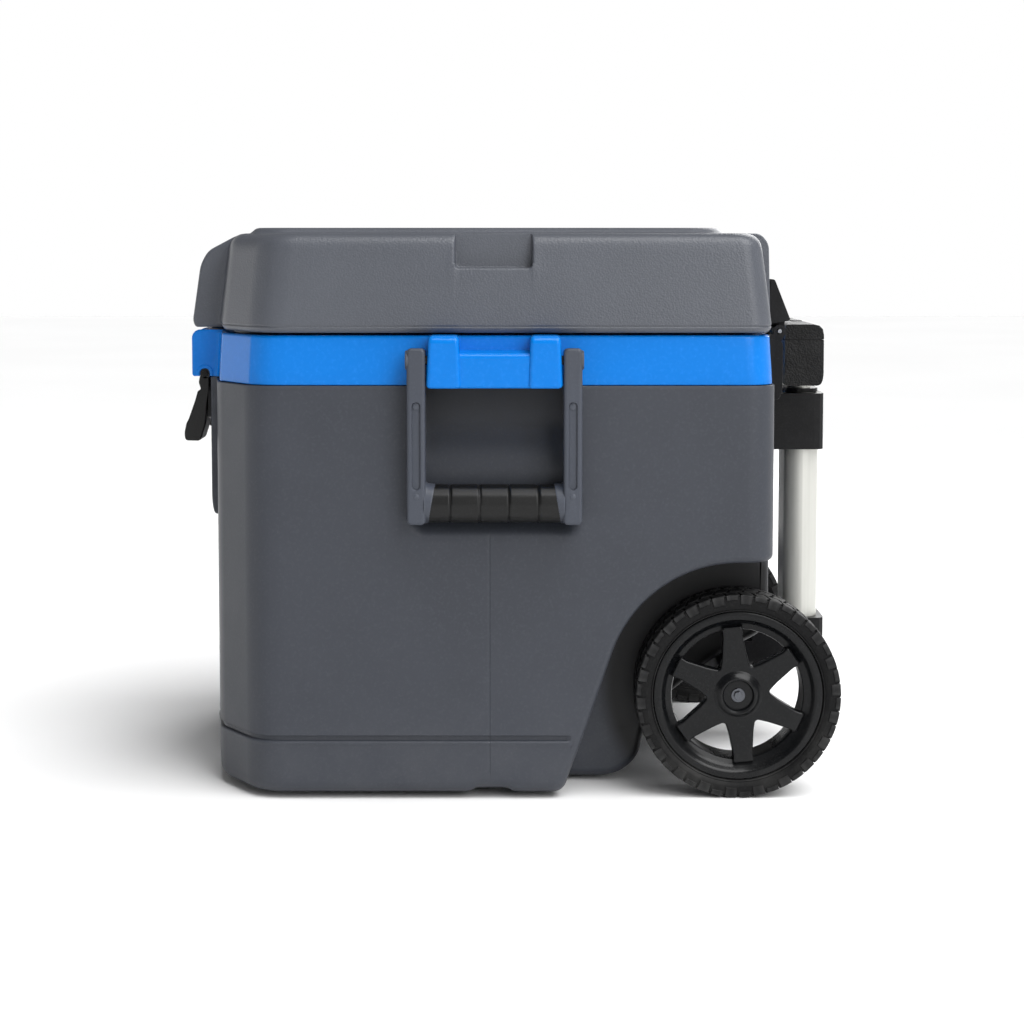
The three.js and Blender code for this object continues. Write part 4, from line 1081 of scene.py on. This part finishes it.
# ---------------------------------------------------------------- bail handles
BAIL_ARM = (60.2, 76.4)          # how far an arm's two faces are from the middle of the bail
GRIP_X, GRIP_Z, GRIP_R = 238, 266.8, 17.4
ARM_Z = (249.4, 403.6)
ARM_FACE = 254.4
SLOT_Z = (280, 357)


def slotted_face(skin, mid):
    """The outer half of an arm, with a long shallow slot down its face and a pip below it."""
    plan = rounded(box_corners(mid - 8.1, mid + 8.1, *ARM_Z, 4), 5)
    slot = rounded(box_corners(mid - 3.7, mid + 3.7, *SLOT_Z, 3.7), 5)
    rings = [[(245, p.x, p.y) for p in plan]]
    edge = 2.6
    for k in range(6):
        angle = math.pi / 2 * k / 5
        rings.append([(ARM_FACE - edge * (1 - math.sin(angle)), p.x, p.y)
                      for p in inset(plan, edge * (1 - math.cos(angle)))])
    for depth, drawn in ((0, -0.5), (0.25, -0.1), (0.8, 0.2), (4.2, 0.5), (4.6, 1)):
        rings.append([(ARM_FACE - depth, p.x, p.y) for p in inset(slot, drawn)])
    skin.loft(rings)
    dome = [(0.2, ARM_FACE - 1), (2.7, ARM_FACE - 1), (2.6, ARM_FACE + 0.2), (1.9, ARM_FACE + 0.6),
            (0.2, ARM_FACE + 0.7)]
    skin.lathe(dome, along_x, mid, SLOT_Z[0] - 5.5, 20)
    seat = [(0.2, ARM_FACE - 5), (3.2, ARM_FACE - 5), (3.1, ARM_FACE - 2), (2.5, ARM_FACE - 1.6),
            (0.2, ARM_FACE - 1.5)]
    skin.lathe(seat, along_x, mid, SLOT_Z[1] - 3.8, 20)


def add_cuff(skin, end):
    """The sleeve that runs from an arm on to the grip, longer on top than underneath."""
    rings = []
    for k in range(64):
        angle = 2 * math.pi * k / 64
        c, s = math.cos(angle), math.sin(angle)
        flare = 2.8 * smooth_step(s / 0.7) * smooth_step((0.9 - c) / 0.5)
        tip = 55.2 - 3 * s
        profile = [(10, 61.5), (17.4 + flare, 61.5), (17.4 + 0.6 * flare, 60), (17.4 + 0.2 * flare, 58.6),
                   (17.4, tip + 2), (17.4, tip + 0.6), (17.2, tip + 0.1), (16.7, tip), (10, tip)]
        rings.append([along_y(GRIP_X + r * c, GRIP_Z + r * s, BRACKET_Y + end * w) for r, w in profile])
    skin.loft(rings, closed=True)


def build_bail(name, side):
    frame_skin = Skin()
    arm = [
        (232, 402.8, 6), (252, 402.8, 4), (252, 250, 4), (224.5, 250, 7), (224.5, 282, 8), (232, 292, 10),
    ]
    for end in (-1, 1):
        a, b = sorted(BRACKET_Y + end * d for d in BAIL_ARM)
        frame_skin.prism(rounded(arm), a + 0.1, b - 0.1, 2.4, along_y, steps=4)
        slotted_face(frame_skin, (a + b) / 2)
        boss = [(3.6, 0), (8.2, 0), (8.6, end * 0.5), (8.6, end * 2.2), (7.8, end * 3), (3.6, end * 3)]
        placed = [(r, BRACKET_Y + end * BAIL_ARM[1] - end * 1.6 + w) for r, w in boss]
        frame_skin.lathe(placed, along_y, 246, 393.2, 32)
        add_cuff(frame_skin, end)
    make(f"bail_{name}_frame", frame_skin.side(side), ARM_GREY, f"bail_{name}",
         [f"bail_frame_{name}"], sharp=40)

    grip = Skin()
    length = 59.5
    grooves = (-39.3, -13.6, 12.0, 38.0)
    profile = [(9, -length)]
    for w in between(-length, length, 170):
        near = min(abs(w - g) for g in grooves)
        profile.append((GRIP_R - 0.45 - 1.1 * (1 - smooth_step(near / 1.5)), w))
    profile.append((9, length))
    rings = []
    around = 96
    for k in range(around):
        angle = 2 * math.pi * k / around
        ridge = 1 - 0.013 * smooth_step(abs(math.sin(angle * 6)) * 3 - 1.6)
        rings.append([along_y(GRIP_X + r * ridge * math.cos(angle), GRIP_Z + r * ridge * math.sin(angle),
                              BRACKET_Y + w + 0.9 * math.cos(angle)) for r, w in profile])
    grip.loft(rings, closed=True)
    make(f"bail_{name}_grip", grip.side(side), RUBBER, f"bail_{name}", [f"bail_grip_{name}"],
         sharp=50)


# ---------------------------------------------------------------- latches and hinge pins
LATCH_X = (62.5, 98.5)
LATCH_Y, LATCH_Z = -285, 372.5


def build_latch(name, side):
    """A finger lever: a neck round its pin, a long waist and a stepped tab to pull."""
    lever = [
        (-290, 371, 2), (-291.6, 364.5, 2), (-289.6, 357.8, 1), (-292.6, 355.6, 1), (-295.2, 346.5, 4),
        (-301.6, 328.8, 1.4), (-303.6, 325.4, 1.4), (-305.6, 315.5, 3), (-304.4, 309.2, 2.4), (-290.2, 308.9, 3),
        (-284.8, 325.6, 6), (-283.4, 345, 6), (-281.2, 357, 3), (-281, 371, 3),
    ]
    skin = Skin()
    skin.prism(rounded(lever, 5), *LATCH_X, 1.6, along_x, steps=4)
    barrel = [(2.8, LATCH_X[0]), (4.6, LATCH_X[0]), (5.1, LATCH_X[0] + 0.6), (5.1, LATCH_X[1] - 0.6),
              (4.6, LATCH_X[1]), (2.8, LATCH_X[1])]
    skin.lathe(barrel, along_x, LATCH_Y, LATCH_Z, 32)
    make(f"latch_{name}_lever", skin.side(side), RUBBER, f"latch_{name}", [f"latch_{name}"])


def build_hinge_pin(name, side):
    x0, x1 = HINGE_X[0] - 1.2, HINGE_X[1] + 1.2
    pin = [(0.3, x0), (1.7, x0), (1.9, x0 + 0.3), (2.5, x0 + 1.3), (2.5, x1 - 1.3), (1.9, x1 - 0.3),
           (1.7, x1), (0.3, x1)]
    skin = Skin()
    skin.lathe(pin, along_x, HINGE_Y, HINGE_Z, 32)
    make(f"hinge_pin_{name}_rod", skin.side(side), STEEL, "case", [f"hinge_pin_{name}"])


# ---------------------------------------------------------------- pull-handle tubes
TUBES = (                        # node, half width, half depth, low end, high end, body
    ("mast_outer", 35.5, 16.5, 92.3, 349.6, "case"),
    ("mast_middle", 31.2, 12.2, 96, 350, "mast_middle"),
    ("mast_inner", 27, 9, 100, 384.6, "mast_grip"),
)
TUBE_WALL = 2


def build_tube(node, half_x, half_y, low, high, body):
    outline = rounded(box_corners(-half_x, half_x, MAST_Y - half_y, MAST_Y + half_y, half_y * 0.99), 10)
    rows = ((0.4, low), (0, low + 0.4), (0, high - 0.4), (0.4, high), (TUBE_WALL, high), (TUBE_WALL, low))
    skin = Skin()
    skin.loft([[(p.x, p.y, z) for p in inset(outline, drawn)] for drawn, z in rows], closed=True)
    make(f"{node}_tube", skin, ALUMINIUM, body, [node], sharp=40)


# ---------------------------------------------------------------- hinge ribs
def build_hinge_ribs(name, side):
    """Two ribs that stiffen a hinge's body leaf, with its screws between them."""
    rib = [(236.8, 352.5), (246.6, 352.5, 2), (249.6, 362, 4), (249.8, 403, 3), (246.4, 408), (236.8, 408)]
    skin = Skin()
    for x0, x1 in ((HINGE_X[0] + 0.6, HINGE_X[0] + 9), (HINGE_X[1] - 9, HINGE_X[1] - 0.6)):
        skin.prism(rounded(rib, 4), x0, x1, 0.7, along_x)
    make(f"hinge_ribs_{name}", skin.side(side), BLACK, "case")


# ---------------------------------------------------------------- carried-over nodes
def dress_nodes():
    for name, _ in SIDES:
        for node in ("hinge_body_leaf", "hinge_lid_leaf", "latch_base"):
            dress(f"{node}_{name}", BLACK, 0.8)
        for node in ("hinge_screw_low", "hinge_screw_high", "hinge_screw_lid", "bracket_screw_upper",
                     "bracket_screw_lower"):
            dress(f"{node}_{name}", STEEL, 0.4)
        dress(f"latch_pin_{name}", BLACK, 0.4)
        dress(f"wheel_bush_{name}", RIM_BLACK, 0.3)
        for end in ("front", "rear"):
            dress(f"bail_pin_{end}_{name}", BLACK, 0.5)
    dress("axle", STEEL, 0.6)
    dress("axle_carrier", BLACK, 1.8)
    dress("mast_upper_bracket", BLACK, 2.4)
    dress("mast_middle_ring", BLACK, 0.4)
    dress("grip_body", GRIP_BLACK, 1.4)
    dress("grip_cap", GRIP_BLACK, 1.4)
    dress("release_button", BLACK, 1.2)
    dress("release_rod", STEEL)
    dress("drain_spout", WHITE)
    dress("drain_cap", BLACK, 0.8)
    dress("drain_gasket", RUBBER)
    dress("body_foam", FOAM)
    dress("lid_foam", FOAM)
    dress("body_liner", WHITE, 5)
    dress("lid_liner", WHITE, 2)


# ---------------------------------------------------------------- stage
ROOM_WALLS = 1.0                 # strength of the studio's light from the sides and from above
ROOM_CEILING = 0.15


def area_light(name, place, aim, size, power, colour=(1, 1, 1)):
    data = bpy.data.lights.new(name, "AREA")
    data.shape = "RECTANGLE"
    data.size, data.size_y = size
    data.energy = power
    data.color = colour
    light = bpy.data.objects.new(name, data)
    light.location = place
    light.rotation_euler = (Vector(aim) - Vector(place)).to_track_quat("-Z", "Y").to_euler()
    bpy.context.scene.collection.objects.link(light)


def build_stage():
    floor_mesh = bpy.data.meshes.new("floor")
    reach = 12
    floor_mesh.from_pydata([(-reach, -reach, 0), (reach, -reach, 0), (reach, reach, 0), (-reach, reach, 0)],
                           [], [(0, 1, 2, 3)])
    floor = bpy.data.objects.new("floor", floor_mesh)
    bpy.context.scene.collection.objects.link(floor)
    look = Look("floor_paper")
    tone = look.mix(look.ramp(look.noise(0.8, 3), 0.3, 0.7), (0.885, 0.885, 0.885, 1),
                    (0.905, 0.905, 0.905, 1))
    look.join(tone, look.shader.inputs["Base Color"])
    look.shader.inputs["Roughness"].default_value = 0.7
    floor_mesh.materials.append(look.material)
    world = bpy.data.worlds.new("studio")
    world.use_nodes = True
    tree = world.node_tree
    direction = tree.nodes.new("ShaderNodeSeparateXYZ")
    tree.links.new(tree.nodes.new("ShaderNodeTexCoord").outputs["Generated"], direction.inputs[0])
    height = tree.nodes.new("ShaderNodeMapRange")
    for socket, value in (("From Min", 0.11), ("From Max", 0.22), ("To Min", ROOM_WALLS),
                          ("To Max", ROOM_CEILING)):
        height.inputs[socket].default_value = value
    tree.links.new(direction.outputs["Z"], height.inputs["Value"])
    tree.links.new(height.outputs["Result"], tree.nodes["Background"].inputs["Strength"])
    tree.nodes["Background"].inputs["Color"].default_value = (1, 1, 1, 1)
    bpy.context.scene.world = world
    overhead = bpy.data.lights.new("overhead", "SUN")
    overhead.energy = 3.5
    overhead.angle = math.radians(48)
    light = bpy.data.objects.new("overhead", overhead)
    light.rotation_euler = Vector((-0.3, -0.38, -1)).to_track_quat("-Z", "Y").to_euler()
    bpy.context.scene.collection.objects.link(light)
    area_light("softbox_front", (-0.9, -2.4, 0.9), (0, -0.1, 0.3), (1.2, 1.6), 3)
    area_light("softbox_side", (2.5, 1.3, 1.5), (0, 0.0, 0.3), (1.6, 1.6), 38)
    area_light("softbox_far_side", (-2.5, 1.3, 1.5), (0, 0.0, 0.3), (1.6, 1.6), 38)
    area_light("softbox_rear", (0.0, 2.8, 1.4), (0, 0.2, 0.3), (1.2, 1.4), 3)


bpy.context.scene.view_settings.view_transform = "Standard"
build_tub()
build_collar()
build_lid()
build_seal()
for side_name, side_sign in SIDES:
    build_tyre(side_name, side_sign)
    build_rim(side_name, side_sign)
    build_bail(side_name, side_sign)
    build_latch(side_name, side_sign)
    build_hinge_pin(side_name, side_sign)
    build_hinge_ribs(side_name, side_sign)
for tube in TUBES:
    build_tube(*tube)
dress_nodes()
build_stage()
